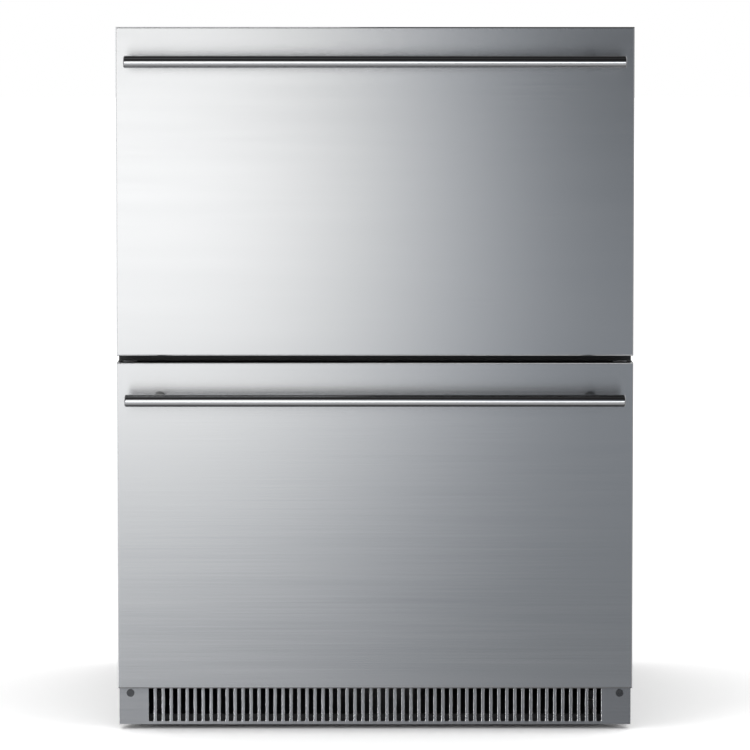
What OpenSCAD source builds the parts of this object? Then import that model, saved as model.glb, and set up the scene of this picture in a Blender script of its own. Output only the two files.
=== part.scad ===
// Undercounter drawer refrigerator: two insulated drawers with bar handles over a slotted toe grille.
// Millimetres. X runs to the right, Y to the back and Z up; the fronts face -Y.
// The origin is on the ground, in the middle of the outer box.

/* [Cabinet] */
// Width of the cabinet, of both fronts and of the toe grille
cabinet_w = 598; // [580:1:620]
// Height from the ground to the top of the cabinet
overall_h = 820; // [810:1:860]
// Depth of the cabinet behind the seal
cabinet_d = 550; // [530:1:590]
// Thickness of the outer steel sheet
sheet_t = 1.2; // [1:0.1:1.6]
// Thickness of an insulated wall, with its sheet and liner
wall_t = 42; // [40:1:46]
// Thickness of the moulded liner
liner_t = 2; // [1.6:0.1:2.4]
// Radius of the liner's long corners
liner_r = 12; // [8:1:16]
// Width of the steel flange round the mouth of the cabinet
flange_w = 34; // [30:1:36]
// Height of the air duct under the insulated floor
duct_h = 40; // [38:1:44]
// Height of the machine bay at the lower rear
bay_h = 256; // [250:1:270]
// Depth of the machine bay
bay_d = 180; // [176:1:190]
// Distance that the bay's cover lies inside the rear panel
cover_recess = 12; // [10:1:16]
// Height of the rail between the two drawers
rail_h = 44; // [42:1:48]
// Depth of the rail between the two drawers
rail_d = 32; // [24:1:36]

/* [Base and feet] */
// Height of the base pan above the ground
ground_gap = 14; // [12:1:16]
// Thickness of the base pan
pan_t = 1.5; // [1.2:0.1:2]
// Height of the base pan's side flanges
pan_flange_h = 22; // [16:1:28]
// Distance of the feet from the sides, front and rear of the cabinet
foot_inset = 42; // [36:1:50]
// Diameter of a foot's pad
foot_pad_d = 38; // [30:1:44]
// Height of a foot's pad
foot_pad_h = 6; // [5:0.5:7]
// Diameter of a foot's threaded stem
foot_stem_d = 10; // [8:1:12]
// Height of the threaded boss that a foot turns in
foot_boss_h = 12; // [10:1:14]
// Length of stem that stands above its boss at rest
foot_spare_l = 10; // [6:1:12]

/* [Drawer fronts] */
// Height of the lower front's bottom edge above the ground
toe_h = 53; // [52:1:54]
// Gap between the two fronts
front_gap = 8; // [6:0.5:10]
// Thickness of a front
front_t = 45; // [42:1:50]
// Thickness of a front's steel skin
skin_t = 1; // [0.8:0.1:1.2]
// Outer radius of the skin's edges
skin_r = 1.6; // [1.4:0.1:3]
// Depth of the skin's folded top and bottom lips
lip_d = 9; // [7:1:12]
// Thickness of the moulded caps that close a front's top and bottom
cap_t = 6; // [5:0.5:8]
// Depth of the caps below the skin's edge
cap_drop = 0.5; // [0.3:0.1:0.8]
// Width of the plugs in a cap's rear corners
plug_w = 16; // [12:1:20]
// Distance between a plug and the skin's side
plug_inset = 5; // [3:1:8]

/* [Seal] */
// Gap between a closed front and the cabinet
seal_gap = 5; // [4.5:0.1:6]
// Width of the seal
seal_w = 13; // [11:1:14]
// Distance of the seal from a front's edges
seal_inset = 4; // [3.5:0.5:5]
// Thickness of the seal's flat base
seal_base_t = 1.7; // [1.2:0.1:2]
// Width of the seal's magnetic bead
seal_bead_w = 8; // [6:0.5:9]
// Width of the rib that holds the seal in the liner's groove
seal_rib_w = 3; // [2.5:0.1:3.5]

/* [Handles] */
// Diameter of a handle's bar
bar_d = 14; // [12:1:16]
// Distance of each end of a handle's bar from the cabinet's side
bar_inset = 12; // [6:1:24]
// Radius of the edge at each end of the bar
bar_edge_r = 2; // [1:0.5:3]
// Distance from a front's face to the bar's axis
bar_standoff = 50; // [44:1:56]
// Distance of the bar's axis below a front's top edge
bar_drop = 40; // [36:1:60]
// Diameter of a handle's posts
post_d = 14; // [10:0.5:14]
// Distance of a handle's posts from the cabinet's sides
post_inset = 50; // [46:1:80]
// Diameter of the screws that hold a front's handle and frame
screw_d = 5; // [4:0.5:6]
// Depth that a handle screw reaches into its post
post_thread_l = 14; // [10:1:20]

/* [Toe grille] */
// Distance of the grille behind the fronts' faces
grille_setback = 33; // [30:1:36]
// Height of the grille's bottom edge above the ground
grille_z = 6; // [4:0.5:8]
// Gap between the grille's top edge and the fronts' bottom edge
grille_clear = 1; // [1:0.5:2]
// Thickness of the grille's sheet
grille_t = 1; // [0.8:0.1:1.2]
// Width of a slot
slot_w = 5.8; // [5:0.1:6.2]
// Distance from one slot to the next
slot_pitch = 9.35; // [9:0.05:10]
// Least width of the plain ends beside the slots
grille_end_w = 34; // [30:1:40]
// Plain height above and below the slots
grille_rim_h = 3.5; // [3:0.5:6]
// Corner radius of a slot
slot_r = 1.5; // [1:0.1:2]
// Distance of the cover screws from the cabinet's sides
cover_screw_inset = 13; // [12:0.5:14]
// Distance of the grille's screws below its top edge
grille_screw_drop = 9; // [8:0.5:12]
// Diameter of the cover screws
cover_screw_d = 4; // [3.5:0.5:4.5]
// Diameter of the cover screws' heads
cover_head_d = 9; // [8:0.5:10]

/* [Drawers] */
// Space between the slides' rear ends and the wall behind them
slide_back_gap = 10; // [8:1:14]
// Height of a slide
slide_h = 45.6; // [44:0.2:47]
// Width of a slide, from the liner to the drawer
slide_w = 12.8; // [12.4:0.1:13.4]
// Thickness of a slide's steel
slide_t = 1.2; // [1:0.1:1.2]
// Running gap between the members of a slide
slide_gap = 0.3; // [0.25:0.05:0.4]
// Thickness of a drawer's steel frame
frame_t = 1.5; // [1.2:0.1:2]
// Height of a drawer frame's sides
frame_h = 110; // [100:1:120]
// Height of the slides' bottom edge above the bottom of a drawer frame
slide_rise = 32; // [28:1:40]
// Width of a drawer frame's bottom flanges
frame_flange_w = 20; // [16:1:26]
// Clearance under a drawer frame
frame_rise = 10; // [8:1:12]
// Wall thickness of a bin
bin_t = 3; // [2.5:0.1:3.5]
// Radius of a bin's upright corners
bin_r = 24; // [20:1:28]
// Amount by which a bin's walls lean outwards from floor to rim
bin_lean = 3; // [2:0.5:4]
// Radius between a bin's floor and its walls
bin_floor_r = 10; // [6:1:12]
// Height of the ribs on a bin's floor
bin_rib_h = 1.5; // [1:0.1:2]
// Width of a bin's rim
bin_rim_w = 4; // [3:0.5:4.5]
// Space between a bin and its frame
bin_gap = 0.5; // [0.3:0.1:0.8]
// Space between a front and the bin behind it
bin_setback = 8; // [8:1:12]
// Height by which the middle of a front's liner is embossed
pad_t = 4; // [3:0.5:5]
// Distance of the embossed pad from the cavity's walls
pad_inset = 14; // [12:1:20]
// Clearance above a bin
bin_headroom = 9; // [7:1:12]

/* [Controls and light] */
// Width of the control panel
panel_w = 220; // [200:1:260]
// Height of the control panel
panel_h = 26; // [24:1:30]
// Depth of the control panel
panel_d = 34; // [30:1:40]
// Distance of the control panel behind the cabinet's mouth
panel_setback = 6; // [5:0.5:8]
// Width of a button
button_w = 16; // [12:1:20]
// Height of a button
button_h = 9; // [7:0.5:11]
// Distance from one button to the next
button_pitch = 24; // [22:1:30]
// Distance that a button stands out of the panel
button_proud = 1.5; // [1.3:0.1:2]
// Distance that a button travels
button_travel = 1; // [0.8:0.1:1.2]
// Depth of the button's stem inside the panel
button_stem_l = 5; // [4:0.5:7]
// Width of the display's recess
display_w = 52; // [44:1:60]
// Length of the light's lens
lens_l = 150; // [120:1:180]
// Width of the light's lens
lens_w = 18; // [14:1:22]
// Depth of the light's lens
lens_h = 5; // [4:0.5:6]

/* [Cooling] */
// Depth of the space that holds the evaporator
plenum_d = 56; // [54:1:60]
// Thickness of the evaporator's cover
plenum_t = 2; // [1.6:0.1:2.4]
// Distance of the cover from the liner's sides
plenum_inset = 22; // [18:1:30]
// Radius of the evaporator's fan
cool_fan_r = 46; // [42:1:50]
// Radius of the condenser's fan
heat_fan_r = 72; // [66:1:74]
// Thickness of a fan's blades
blade_t = 1.5; // [1.2:0.1:2]
// Number of blades on a fan
blade_count = 5; // [4:1:7]
// Diameter of a fan's shaft
shaft_d = 5; // [4:0.5:6]
// Diameter of the coils' tube
tube_d = 8; // [7:0.5:9]
// Distance from one tube of a coil to the next
tube_pitch = 26; // [24:1:28]
// Thickness of a fin
fin_t = 0.6; // [0.5:0.1:0.8]
// Distance from one fin to the next
fin_pitch = 12; // [11:0.5:14]
// Width of the evaporator
evaporator_w = 360; // [320:1:380]
// Width of the condenser
condenser_w = 216; // [200:1:226]
// Radius of the compressor's shell
shell_r = 64; // [58:1:68]
// Height of the compressor's shell
shell_h = 158; // [140:1:170]
// Height of the compressor's rubber mounts
mount_h = 14; // [12:1:18]
// Diameter of the hole in the cord's gland
cord_hole_d = 9; // [8:0.5:10]

/* [Hidden] */
$fn = 64;
// Distance kept between the feet and the pieces of the machine bay
bay_gap = 6;
// Running clearance of a shaft or a stem in its hole
run_gap = 0.06;
// Clearance of a fastener in the pieces that it passes through
pass_gap = 0.3;
// Gap between a moving piece and the surface that it stops short of
rest_gap = 0.3;
// Amount by which a cut passes the surface that it opens
over = 1;

half_w = cabinet_w / 2;
total_d = bar_d / 2 + bar_standoff + front_t + seal_gap + cabinet_d;
face_y = -total_d / 2 + bar_d / 2 + bar_standoff;
front_back_y = face_y + front_t;
mouth_y = front_back_y + seal_gap;
rear_y = total_d / 2;

pan_z = ground_gap;
pan_top_z = pan_z + pan_t;
floor_z = pan_z + duct_h;
cavity_z = floor_z + wall_t;
ceiling_z = overall_h - wall_t;
sill_z = floor_z + flange_w;
head_z = overall_h - flange_w;
bay_y = rear_y - bay_d;
bay_z = pan_z + bay_h;
step_y = bay_y - wall_t;
step_z = bay_z + wall_t;
inner_half_w = half_w - sheet_t;
cavity_half_w = half_w - wall_t;
mouth_half_w = half_w - flange_w;
cavity_back_y = rear_y - wall_t;
cover_y = rear_y - cover_recess;

front_h = (overall_h - toe_h - front_gap) / 2;
upper_z = overall_h - front_h;
lower_z = toe_h;
rail_z = upper_z - front_gap / 2 - rail_h / 2;
bar_l = cabinet_w - 2 * bar_inset;
post_x = half_w - post_inset;
foot_x = half_w - foot_inset;
foot_ys = [mouth_y + foot_inset, rear_y - foot_inset];
foot_boss_d = 1.8 * foot_stem_d;
bay_half_w = foot_x - foot_boss_d / 2 - bay_gap;

screw_head_d = 1.8 * screw_d;
screw_head_h = 0.55 * screw_d;
frame_half_w = cavity_half_w - slide_w;
plenum_y = cavity_back_y - plenum_d;
upper_frame_z = rail_z + rail_h + frame_rise;
lower_frame_z = cavity_z + frame_rise;
slide_y = mouth_y + liner_t;
upper_slide_y = plenum_y - plenum_t - slide_back_gap;
lower_slide_y = step_y - slide_back_gap;
panel_z = ceiling_z - panel_h;
slice_t = 0.01;
bin_rib_rows = 5;
bin_rib_pitch = frame_half_w / (bin_rib_rows + 1.5);
upper_bin_top_z = panel_z - bin_headroom;
lower_bin_top_z = rail_z - bin_headroom;

grille_y = face_y + grille_setback;
grille_h = toe_h - grille_clear - grille_z;
grille_screw_z = grille_z + grille_h - grille_screw_drop;
cover_screw_x = half_w - cover_screw_inset;
cover_flange_w = 2 * cover_screw_inset;
cover_screw_l = 9;
cover_z = pan_top_z + pass_gap;
cover_top_z = bay_z - pass_gap;
cover_screw_zs = [for (k = [1, 3]) cover_z + k * (cover_top_z - cover_z) / 4];

plenum_half_w = cavity_half_w - plenum_inset;
plenum_z = step_z + wall_t / 2;
plenum_top_z = ceiling_z - wall_t / 2;
cool_fan_z = plenum_top_z - cool_fan_r - wall_t / 2;
coil_rows = 6;
coil_h = coil_rows * tube_pitch;
evaporator_z = plenum_z + wall_t / 2;
compressor_base = [2.9 * shell_r, 1.9 * shell_r];
compressor_x = bay_half_w - compressor_base[0] / 2;
compressor_y = (bay_y + cover_y) / 2;
mount_plate_z = pan_top_z + mount_h;
mount_plate_t = 3;
tray_half_w = condenser_w / 2 - 2 * tube_d;
condenser_x = tray_half_w - bay_half_w;
condenser_y = bay_y + wall_t / 2;
condenser_z = pan_top_z + wall_t / 2;
heat_fan_y = condenser_y + 2 * tube_pitch;
heat_fan_z = condenser_z + coil_h / 2;
fan_seat_t = 2;
fan_motor_y = 30;
fan_motor_l = 20;
fan_rim_w = 6;
button_xs = [for (k = [0:2]) panel_w / 2 - button_pitch * (k + 0.8)];
button_z = panel_z + panel_h / 2;

// ---- Shapes used all over ----

// Block between two corners, given as a range along each axis
module block(x, y, z)
    translate([x[0], y[0], z[0]])
        cube([x[1] - x[0], y[1] - y[0], z[1] - z[0]]);

// The children, and their mirror image on the other side of the unit
module both_sides() {
    children();
    mirror([1, 0, 0]) children();
}

// Outline in X and Z, extruded over a range of Y
module along_y(y)
    translate([0, y[1], 0])
        rotate([90, 0, 0])
            linear_extrude(y[1] - y[0])
                children();

// Outline in Y and Z, extruded over a range of X
module along_x(x)
    translate([x[0], 0, 0])
        rotate([90, 0, 90])
            linear_extrude(x[1] - x[0])
                children();

// Round rod over a range of Y, at a place in X and Z
module rod_y(d, y, x = 0, z = 0)
    translate([x, y[0], z])
        rotate([-90, 0, 0])
            cylinder(d = d, h = y[1] - y[0]);

// Rectangle about the origin with round corners
module round_rect(w, h, r) {
    square([w - 2 * r, h], center = true);
    square([w, h - 2 * r], center = true);
    for (x = [-1, 1], y = [-1, 1])
        translate([x * (w / 2 - r), y * (h / 2 - r)])
            circle(r, $fn = 32);
}

// Slot with round ends: the width is along X and the height along Z
module slot(w, h)
    round_rect(w, h, 0.49 * min(w, h));

// Rectangle over a range of Y, whose two corners at the low end are round
module nosed_rect(w, y, r) {
    translate([-w / 2, y[0] + r])
        square([w, y[1] - y[0] - r]);
    translate([-w / 2 + r, y[0]])
        square([w - 2 * r, y[1] - y[0]]);
    for (x = [-1, 1])
        translate([x * (w / 2 - r), y[0] + r])
            circle(r, $fn = 32);
}

// Screw along Y, with a round-edged head that lies against the plane at y
module screw_y(d, head_d, head_h, y, l, x, z, way) {
    translate([x, y, z])
        rotate([way * 90, 0, 0]) {
            translate([0, 0, -l])
                cylinder(d = d, h = l);
            difference() {
                cylinder(d = head_d, h = head_h);
                translate([0, 0, head_h / 3])
                    cross_recess(0.6 * head_d, head_h);
            }
        }
}

// Cross-shaped driver recess
module cross_recess(w, h)
    for (a = [0, 90])
        rotate([0, 0, a])
            translate([-w / 2, -w / 6, 0])
                cube([w, w / 3, h]);

// ---- Cabinet ----

black_paint = [0.1, 0.1, 0.11];

// Right-hand side panel: sheet with a front flange, and a rear flange for the bay's cover
module side_panel() {
    block([inner_half_w, half_w], [mouth_y, rear_y], [pan_z, overall_h - sheet_t]);
    block([mouth_half_w, half_w], [mouth_y, mouth_y + sheet_t], [pan_top_z, head_z]);
    difference() {
        block([half_w - cover_flange_w, half_w],
              [cover_y - 2 * sheet_t, cover_y - sheet_t], [pan_top_z, bay_z]);
        for (z = cover_screw_zs)
            rod_y(cover_screw_d + 2 * run_gap, [cover_y - 2 * sheet_t - over, cover_y],
                  cover_screw_x, z);
    }
}

module right_side_panel() color(black_paint) side_panel();

module left_side_panel() color(black_paint) mirror([1, 0, 0]) side_panel();

module top_panel()
    color(black_paint) {
        block([-half_w, half_w], [mouth_y, rear_y], [overall_h - sheet_t, overall_h]);
        block([-inner_half_w, inner_half_w], [mouth_y, mouth_y + sheet_t],
              [head_z, overall_h - sheet_t]);
    }

swage_w = 14;
swage_rows = 5;

// Rear sheet, stiffened by shallow swages
module rear_panel()
    color("gainsboro")
        difference() {
            z = [bay_z + sheet_t, overall_h - sheet_t];
            block([-inner_half_w, inner_half_w], [rear_y - sheet_t, rear_y], z);
            along_y([rear_y - sheet_t / 2, rear_y + over])
                for (k = [1:swage_rows])
                    translate([0, z[0] + k * (z[1] - z[0]) / (swage_rows + 1)])
                        slot(2 * cavity_half_w, swage_w);
        }

// Folded pan with a turned-down front edge, side flanges, threaded bosses for the feet and lugs
// for the toe grille
module base_pan()
    color(black_paint) {
        difference() {
            union() {
                block([-inner_half_w, inner_half_w], [mouth_y, cover_y - 2 * sheet_t],
                      [pan_z, pan_top_z]);
                block([-inner_half_w, inner_half_w], [mouth_y, mouth_y + pan_t],
                      [grille_z, pan_z]);
                for (y = foot_ys)
                    both_sides()
                        translate([foot_x, y, pan_z])
                            cylinder(d = foot_boss_d, h = pan_t + foot_boss_h);
            }
            for (y = foot_ys)
                both_sides()
                    translate([foot_x, y, pan_z - over])
                        cylinder(d = foot_stem_d + 2 * run_gap, h = pan_t + foot_boss_h + 2 * over);
        }
        both_sides() {
            block([inner_half_w - pan_t, inner_half_w],
                  [mouth_y + sheet_t, cover_y - 2 * sheet_t], [pan_top_z, pan_z + pan_flange_h]);
            grille_lug();
        }
    }

// Lug of the base pan that a grille screw turns into
module grille_lug() {
    lug_x = [cover_screw_x - cover_screw_inset + grille_t + run_gap,
             cover_screw_x + cover_screw_inset - grille_t - run_gap];
    tab_y = grille_y + grille_t;
    block(lug_x, [tab_y, mouth_y], [pan_z, pan_top_z]);
    difference() {
        block(lug_x, [tab_y, tab_y + pan_t], [pan_z, grille_screw_z + cover_screw_inset / 2]);
        rod_y(cover_screw_d + 2 * run_gap, [tab_y - over, tab_y + pan_t + over],
              cover_screw_x, grille_screw_z);
    }
}

// Sheet under the insulation: front sill, floor, and the front and roof of the machine bay
module floor_panel()
    color(black_paint) {
        block([-mouth_half_w, mouth_half_w], [mouth_y, mouth_y + sheet_t], [floor_z, sill_z]);
        along_x([-inner_half_w, inner_half_w])
            difference() {
                translate([mouth_y + sheet_t, floor_z])
                    square([rear_y - mouth_y - sheet_t, bay_z + sheet_t - floor_z]);
                translate([mouth_y, floor_z + sheet_t])
                    square([bay_y - sheet_t - mouth_y, bay_z]);
                translate([bay_y, floor_z - over])
                    square([bay_d + over, bay_z - floor_z + over]);
            }
    }

// Space inside the liner grown by its thickness t: the mouth, the cavity and the step over the bay
module cavity_shape(t, mouth) {
    w = 2 * (cavity_half_w + t);
    h = ceiling_z - cavity_z + 2 * t;
    intersection() {
        along_y([mouth, cavity_back_y + t])
            translate([0, (ceiling_z + cavity_z) / 2])
                round_rect(w, h, liner_r + t);
        along_x([-half_w, half_w])
            difference() {
                translate([mouth, cavity_z - t])
                    square([cavity_back_y + t - mouth, h]);
                translate([step_y + t, cavity_z - t - over])
                    square([cavity_back_y - step_y + over, step_z - cavity_z + over]);
            }
    }
}

// Liner with the lip that meets the steel flange and, where it is cut, makes room for the rail
module liner_shell(cut) {
    difference() {
        union() {
            cavity_shape(liner_t, mouth_y);
            block([-mouth_half_w, mouth_half_w], [mouth_y, mouth_y + liner_t], [sill_z, head_z]);
        }
        if (cut) {
            cavity_shape(0, mouth_y - over);
            rail_plate(over);
        }
    }
}

// Front plate of the rail, as wide as the cabinet's mouth and grown by a cut's margin to the front
module rail_plate(margin)
    block([-mouth_half_w, mouth_half_w], [mouth_y - margin, mouth_y + liner_t],
          [rail_z, rail_z + rail_h]);

module inner_liner() color("white") liner_shell(true);

module cabinet_foam()
    color("khaki")
        difference() {
            along_x([-inner_half_w, inner_half_w])
                difference() {
                    translate([mouth_y + sheet_t, floor_z + sheet_t])
                        square([rear_y - mouth_y - 2 * sheet_t, overall_h - floor_z - 2 * sheet_t]);
                    translate([bay_y - sheet_t, floor_z])
                        square([bay_d, bay_z + sheet_t - floor_z]);
                }
            liner_shell(false);
        }

// Folded steel rail that both seals close against
module mullion_rail()
    color(black_paint) {
        rail_plate(0);
        along_x([-cavity_half_w, cavity_half_w])
            difference() {
                translate([mouth_y + liner_t, rail_z])
                    square([rail_d - liner_t, rail_h]);
                translate([mouth_y + liner_t, rail_z + sheet_t])
                    square([rail_d - liner_t - sheet_t, rail_h - 2 * sheet_t]);
            }
    }

// ---- Toe grille, machine bay cover and their screws ----

slot_count = floor((cabinet_w - 2 * grille_end_w - slot_w) / slot_pitch) + 1;

module toe_grille()
    color("silver") {
        mid_z = grille_z + grille_h / 2;
        depth = [grille_y + grille_t, mouth_y];
        along_y([grille_y, grille_y + grille_t])
            translate([0, mid_z])
                difference() {
                    square([cabinet_w, grille_h], center = true);
                    for (k = [0:slot_count - 1])
                        translate([(k - (slot_count - 1) / 2) * slot_pitch, 0])
                            round_rect(slot_w, grille_h - 2 * grille_rim_h, slot_r);
                    for (x = [-1, 1])
                        translate([x * cover_screw_x, grille_screw_z - mid_z])
                            circle(d = cover_screw_d + 2 * pass_gap);
                }
        block([-half_w, half_w], depth, [grille_z, grille_z + grille_t]);
        block([-half_w, half_w], depth, [grille_z + grille_h - grille_t, grille_z + grille_h]);
        both_sides()
            block([half_w - grille_t, half_w], depth,
                  [grille_z + grille_t, grille_z + grille_h - grille_t]);
    }

module cover_screws()
    color("dimgray")
        both_sides() {
            screw_y(cover_screw_d, cover_head_d, cover_screw_d / 2, grille_y, cover_screw_l,
                    cover_screw_x, grille_screw_z, 1);
            for (z = cover_screw_zs)
                screw_y(cover_screw_d, cover_head_d, cover_screw_d / 2, cover_y, cover_screw_l,
                        cover_screw_x, z, -1);
        }

cover_slot_l = 116;
cover_slot_h = 6;
cover_slot_rows = 12;
cover_slot_step = 1.35 * cover_slot_l;
gland_x = half_w - 2 * cover_flange_w;
gland_z = pan_top_z + 24;
gland_d = 24;
gland_body_d = 16;

module machine_cover()
    color("gray")
        along_y([cover_y - sheet_t, cover_y])
            difference() {
                translate([-inner_half_w + pass_gap, cover_z])
                    square([2 * (inner_half_w - pass_gap), cover_top_z - cover_z]);
                for (c = [-1:1], k = [0:cover_slot_rows - 1])
                    translate([c * cover_slot_step,
                               gland_z + gland_d + k * (cover_top_z - gland_z - 2 * gland_d)
                               / (cover_slot_rows - 1)])
                        slot(cover_slot_l, cover_slot_h);
                for (x = [-1, 1], z = cover_screw_zs)
                    translate([x * cover_screw_x, z])
                        circle(d = cover_screw_d + 2 * pass_gap);
                translate([gland_x, gland_z])
                    circle(d = gland_body_d + 2 * run_gap);
            }

// Gland of the cord's exit: a flanged ring in the bay's cover
module cord_gland()
    color("black")
        difference() {
            union() {
                rod_y(gland_d, [cover_y, cover_y + cover_recess / 3], gland_x, gland_z);
                rod_y(gland_body_d, [cover_y - 4 * sheet_t, cover_y + cover_recess / 2],
                      gland_x, gland_z);
            }
            rod_y(cord_hole_d, [cover_y - cover_recess, cover_y + cover_recess], gland_x, gland_z);
        }

// ---- Cooling ----

grommet_d = 22;
grommet_neck_d = 11;
grommet_cap_d = 16;
grommet_cap_h = 3;
seam_w = 4;
seam_t = 3;
terminal_box_w = 48;
terminal_box_h = 38;
terminal_box_out = 22;

module at_mounts()
    for (x = [-1, 1], y = [-1, 1])
        translate([compressor_x + x * (compressor_base[0] / 2 - grommet_d / 2),
                   compressor_y + y * (compressor_base[1] / 2 - grommet_d / 2), 0])
            children();

// Welded shell with its seam, base plate, terminal box and two pipe stubs
module compressor()
    color([0.12, 0.12, 0.13]) {
        shell_z = mount_plate_z + mount_plate_t;
        dome_r = shell_r / 2;
        difference() {
            translate([compressor_x - compressor_base[0] / 2,
                       compressor_y - compressor_base[1] / 2, mount_plate_z])
                cube([compressor_base[0], compressor_base[1], mount_plate_t]);
            at_mounts()
                translate([0, 0, mount_plate_z - over])
                    cylinder(d = grommet_neck_d + 2 * pass_gap, h = mount_plate_t + 2 * over);
        }
        translate([compressor_x, compressor_y, shell_z])
            rotate_extrude() {
                square([shell_r - dome_r, shell_h]);
                translate([0, dome_r])
                    square([shell_r, shell_h - 2 * dome_r]);
                for (z = [dome_r, shell_h - dome_r])
                    translate([shell_r - dome_r, z])
                        intersection() {
                            circle(dome_r);
                            translate([0, -dome_r])
                                square([dome_r, 2 * dome_r]);
                        }
                translate([0, shell_h / 2])
                    square([shell_r + seam_w, seam_t]);
            }
        seam_z = shell_z + shell_h / 2;
        block([compressor_x - shell_r - terminal_box_out, compressor_x - shell_r / 2],
              [compressor_y - terminal_box_w / 2, compressor_y + terminal_box_w / 2],
              [seam_z - seam_t - terminal_box_h, seam_z - seam_t]);
    }

module compressor_mounts()
    color([0.15, 0.15, 0.15])
        at_mounts() {
            translate([0, 0, pan_top_z])
                cylinder(d = grommet_d, h = mount_h);
            translate([0, 0, mount_plate_z])
                cylinder(d = grommet_neck_d, h = mount_plate_t);
            translate([0, 0, mount_plate_z + mount_plate_t])
                cylinder(d = grommet_cap_d, h = grommet_cap_h);
        }

coil_plate_t = 2;

// Finned coil over a range of X: tubes in two ranks along X, joined by return bends, through fins
module finned_coil(x, y, z, fins_y) {
    fin_count = round((x[1] - x[0]) / fin_pitch) - 1;
    first_fin = (x[0] + x[1]) / 2 - (fin_count - 1) / 2 * fin_pitch;
    for (rank = [0, 1], row = [0:coil_rows - 1])
        translate([x[0], y + (rank + 0.5) * tube_pitch, z + (row + 0.5) * tube_pitch])
            rotate([0, 90, 0])
                cylinder(d = tube_d, h = x[1] - x[0], $fn = 24);
    for (rank = [0, 1], row = [0:coil_rows - 2]) {
        end = row % 2;
        translate([x[end], y + (rank + 0.5) * tube_pitch, z + (row + 1) * tube_pitch])
            rotate([90, 0, 0])
                rotate([0, 0, end == 1 ? -90 : 90])
                    rotate_extrude(angle = 180)
                        translate([tube_pitch / 2, 0])
                            circle(d = tube_d, $fn = 24);
    }
    for (k = [0:fin_count - 1])
        block([first_fin + k * fin_pitch, first_fin + k * fin_pitch + fin_t], fins_y,
              [z, z + coil_h]);
}

module evaporator()
    color("lightgray") {
        y = plenum_y + (plenum_d - 2 * tube_pitch) / 2;
        half = evaporator_w / 2;
        finned_coil([-half, half], y, evaporator_z, [y, y + 2 * tube_pitch]);
        for (x = [-half + tube_d, half - tube_d])
            block([x - coil_plate_t / 2, x + coil_plate_t / 2], [y, cavity_back_y],
                  [evaporator_z, evaporator_z + coil_h]);
    }

module condenser()
    color("dimgray") {
        half = condenser_w / 2;
        finned_coil([condenser_x - half, condenser_x + half], condenser_y, condenser_z,
                    [condenser_y, condenser_y + 2 * tube_pitch]);
        for (x = [condenser_x - half + tube_d, condenser_x + half - tube_d])
            block([x - coil_plate_t / 2, x + coil_plate_t / 2],
                  [condenser_y, condenser_y + 2 * tube_pitch],
                  [pan_top_z, condenser_z + coil_h]);
    }

guard_bars = 4;
guard_pitch = 10;
guard_slot_h = 6;
intake_slots = 8;
intake_pitch = 22;
intake_w = 6;
intake_h = 28;

// Cover in front of the evaporator, with the fan's guard and the slots that draw the air in
module evaporator_cover()
    color("whitesmoke") {
        w = 2 * plenum_half_w;
        h = plenum_top_z - plenum_z;
        mid_z = (plenum_z + plenum_top_z) / 2;
        along_y([plenum_y - plenum_t, plenum_y])
            translate([0, mid_z])
                difference() {
                    square([w, h], center = true);
                    translate([0, cool_fan_z - mid_z])
                        intersection() {
                            circle(cool_fan_r);
                            for (k = [-guard_bars:guard_bars])
                                translate([0, k * guard_pitch])
                                    square([2 * cool_fan_r, guard_slot_h], center = true);
                        }
                    for (k = [-intake_slots:intake_slots])
                        translate([k * intake_pitch, 0.85 * intake_h - h / 2])
                            slot(intake_w, intake_h);
                }
        along_y([plenum_y, cavity_back_y])
            translate([0, mid_z])
                difference() {
                    square([w, h], center = true);
                    square([w - 2 * plenum_t, h - 2 * plenum_t], center = true);
                }
    }

fan_tip_gap = 1;
fan_arm_w = 8;
fan_motor_end_t = 3;
fan_hub_share = 0.31;
fan_chord_share = 0.62;
fan_camber_share = 1.55;
fan_pitch_angle = 32;

// Seat, arms and motor of a fan whose air passes along Y; the seat, half as wide as half, lies on
// the plane y = 0
module fan_housing(r, half) {
    difference() {
        union() {
            along_y([0, fan_seat_t])
                square(2 * half, center = true);
            both_sides()
                block([half - fan_rim_w / 2, half], [fan_seat_t, fan_motor_y + fan_seat_t],
                      [-fan_arm_w / 2, fan_arm_w / 2]);
            block([-half, half], [fan_motor_y, fan_motor_y + fan_seat_t],
                  [-fan_arm_w / 2, fan_arm_w / 2]);
            rod_y(r / 2, [fan_motor_y, fan_motor_y + fan_motor_l]);
        }
        rod_y(2 * (r + fan_tip_gap), [-over, fan_seat_t + over]);
        rod_y(shaft_d + 2 * run_gap,
              [fan_motor_y - over, fan_motor_y + fan_motor_l - fan_motor_end_t]);
    }
}

// Fan wheel: cup-shaped hub, cambered blades and the shaft that turns in the motor
module fan_wheel(r) {
    hub_r = fan_hub_share * r;
    depth = [fan_seat_t + 2, fan_motor_y - 4];
    chord = fan_chord_share * r;
    camber_r = fan_camber_share * r;
    rod_y(2 * hub_r, depth);
    rod_y(shaft_d, [depth[1], fan_motor_y + fan_motor_l - fan_motor_end_t - rest_gap]);
    for (k = [0:blade_count - 1])
        rotate([0, k * 360 / blade_count, 0])
            intersection() {
                difference() {
                    rod_y(2 * r, depth);
                    rod_y(2 * hub_r - 2, [depth[0] - over, depth[1] + over]);
                }
                translate([0, (depth[0] + depth[1]) / 2, 0])
                    rotate([fan_pitch_angle, 0, 0])
                        intersection() {
                            translate([0, -camber_r, 0])
                                rotate([0, 90, 0])
                                    difference() {
                                        cylinder(r = camber_r, h = r + over);
                                        translate([0, 0, -over])
                                            cylinder(r = camber_r - blade_t, h = r + 3 * over);
                                    }
                            block([0, r], [-r / 2, r / 2], [-chord / 2, chord / 2]);
                        }
            }
}

module at_cool_fan()
    translate([0, plenum_y, cool_fan_z])
        children();

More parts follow.
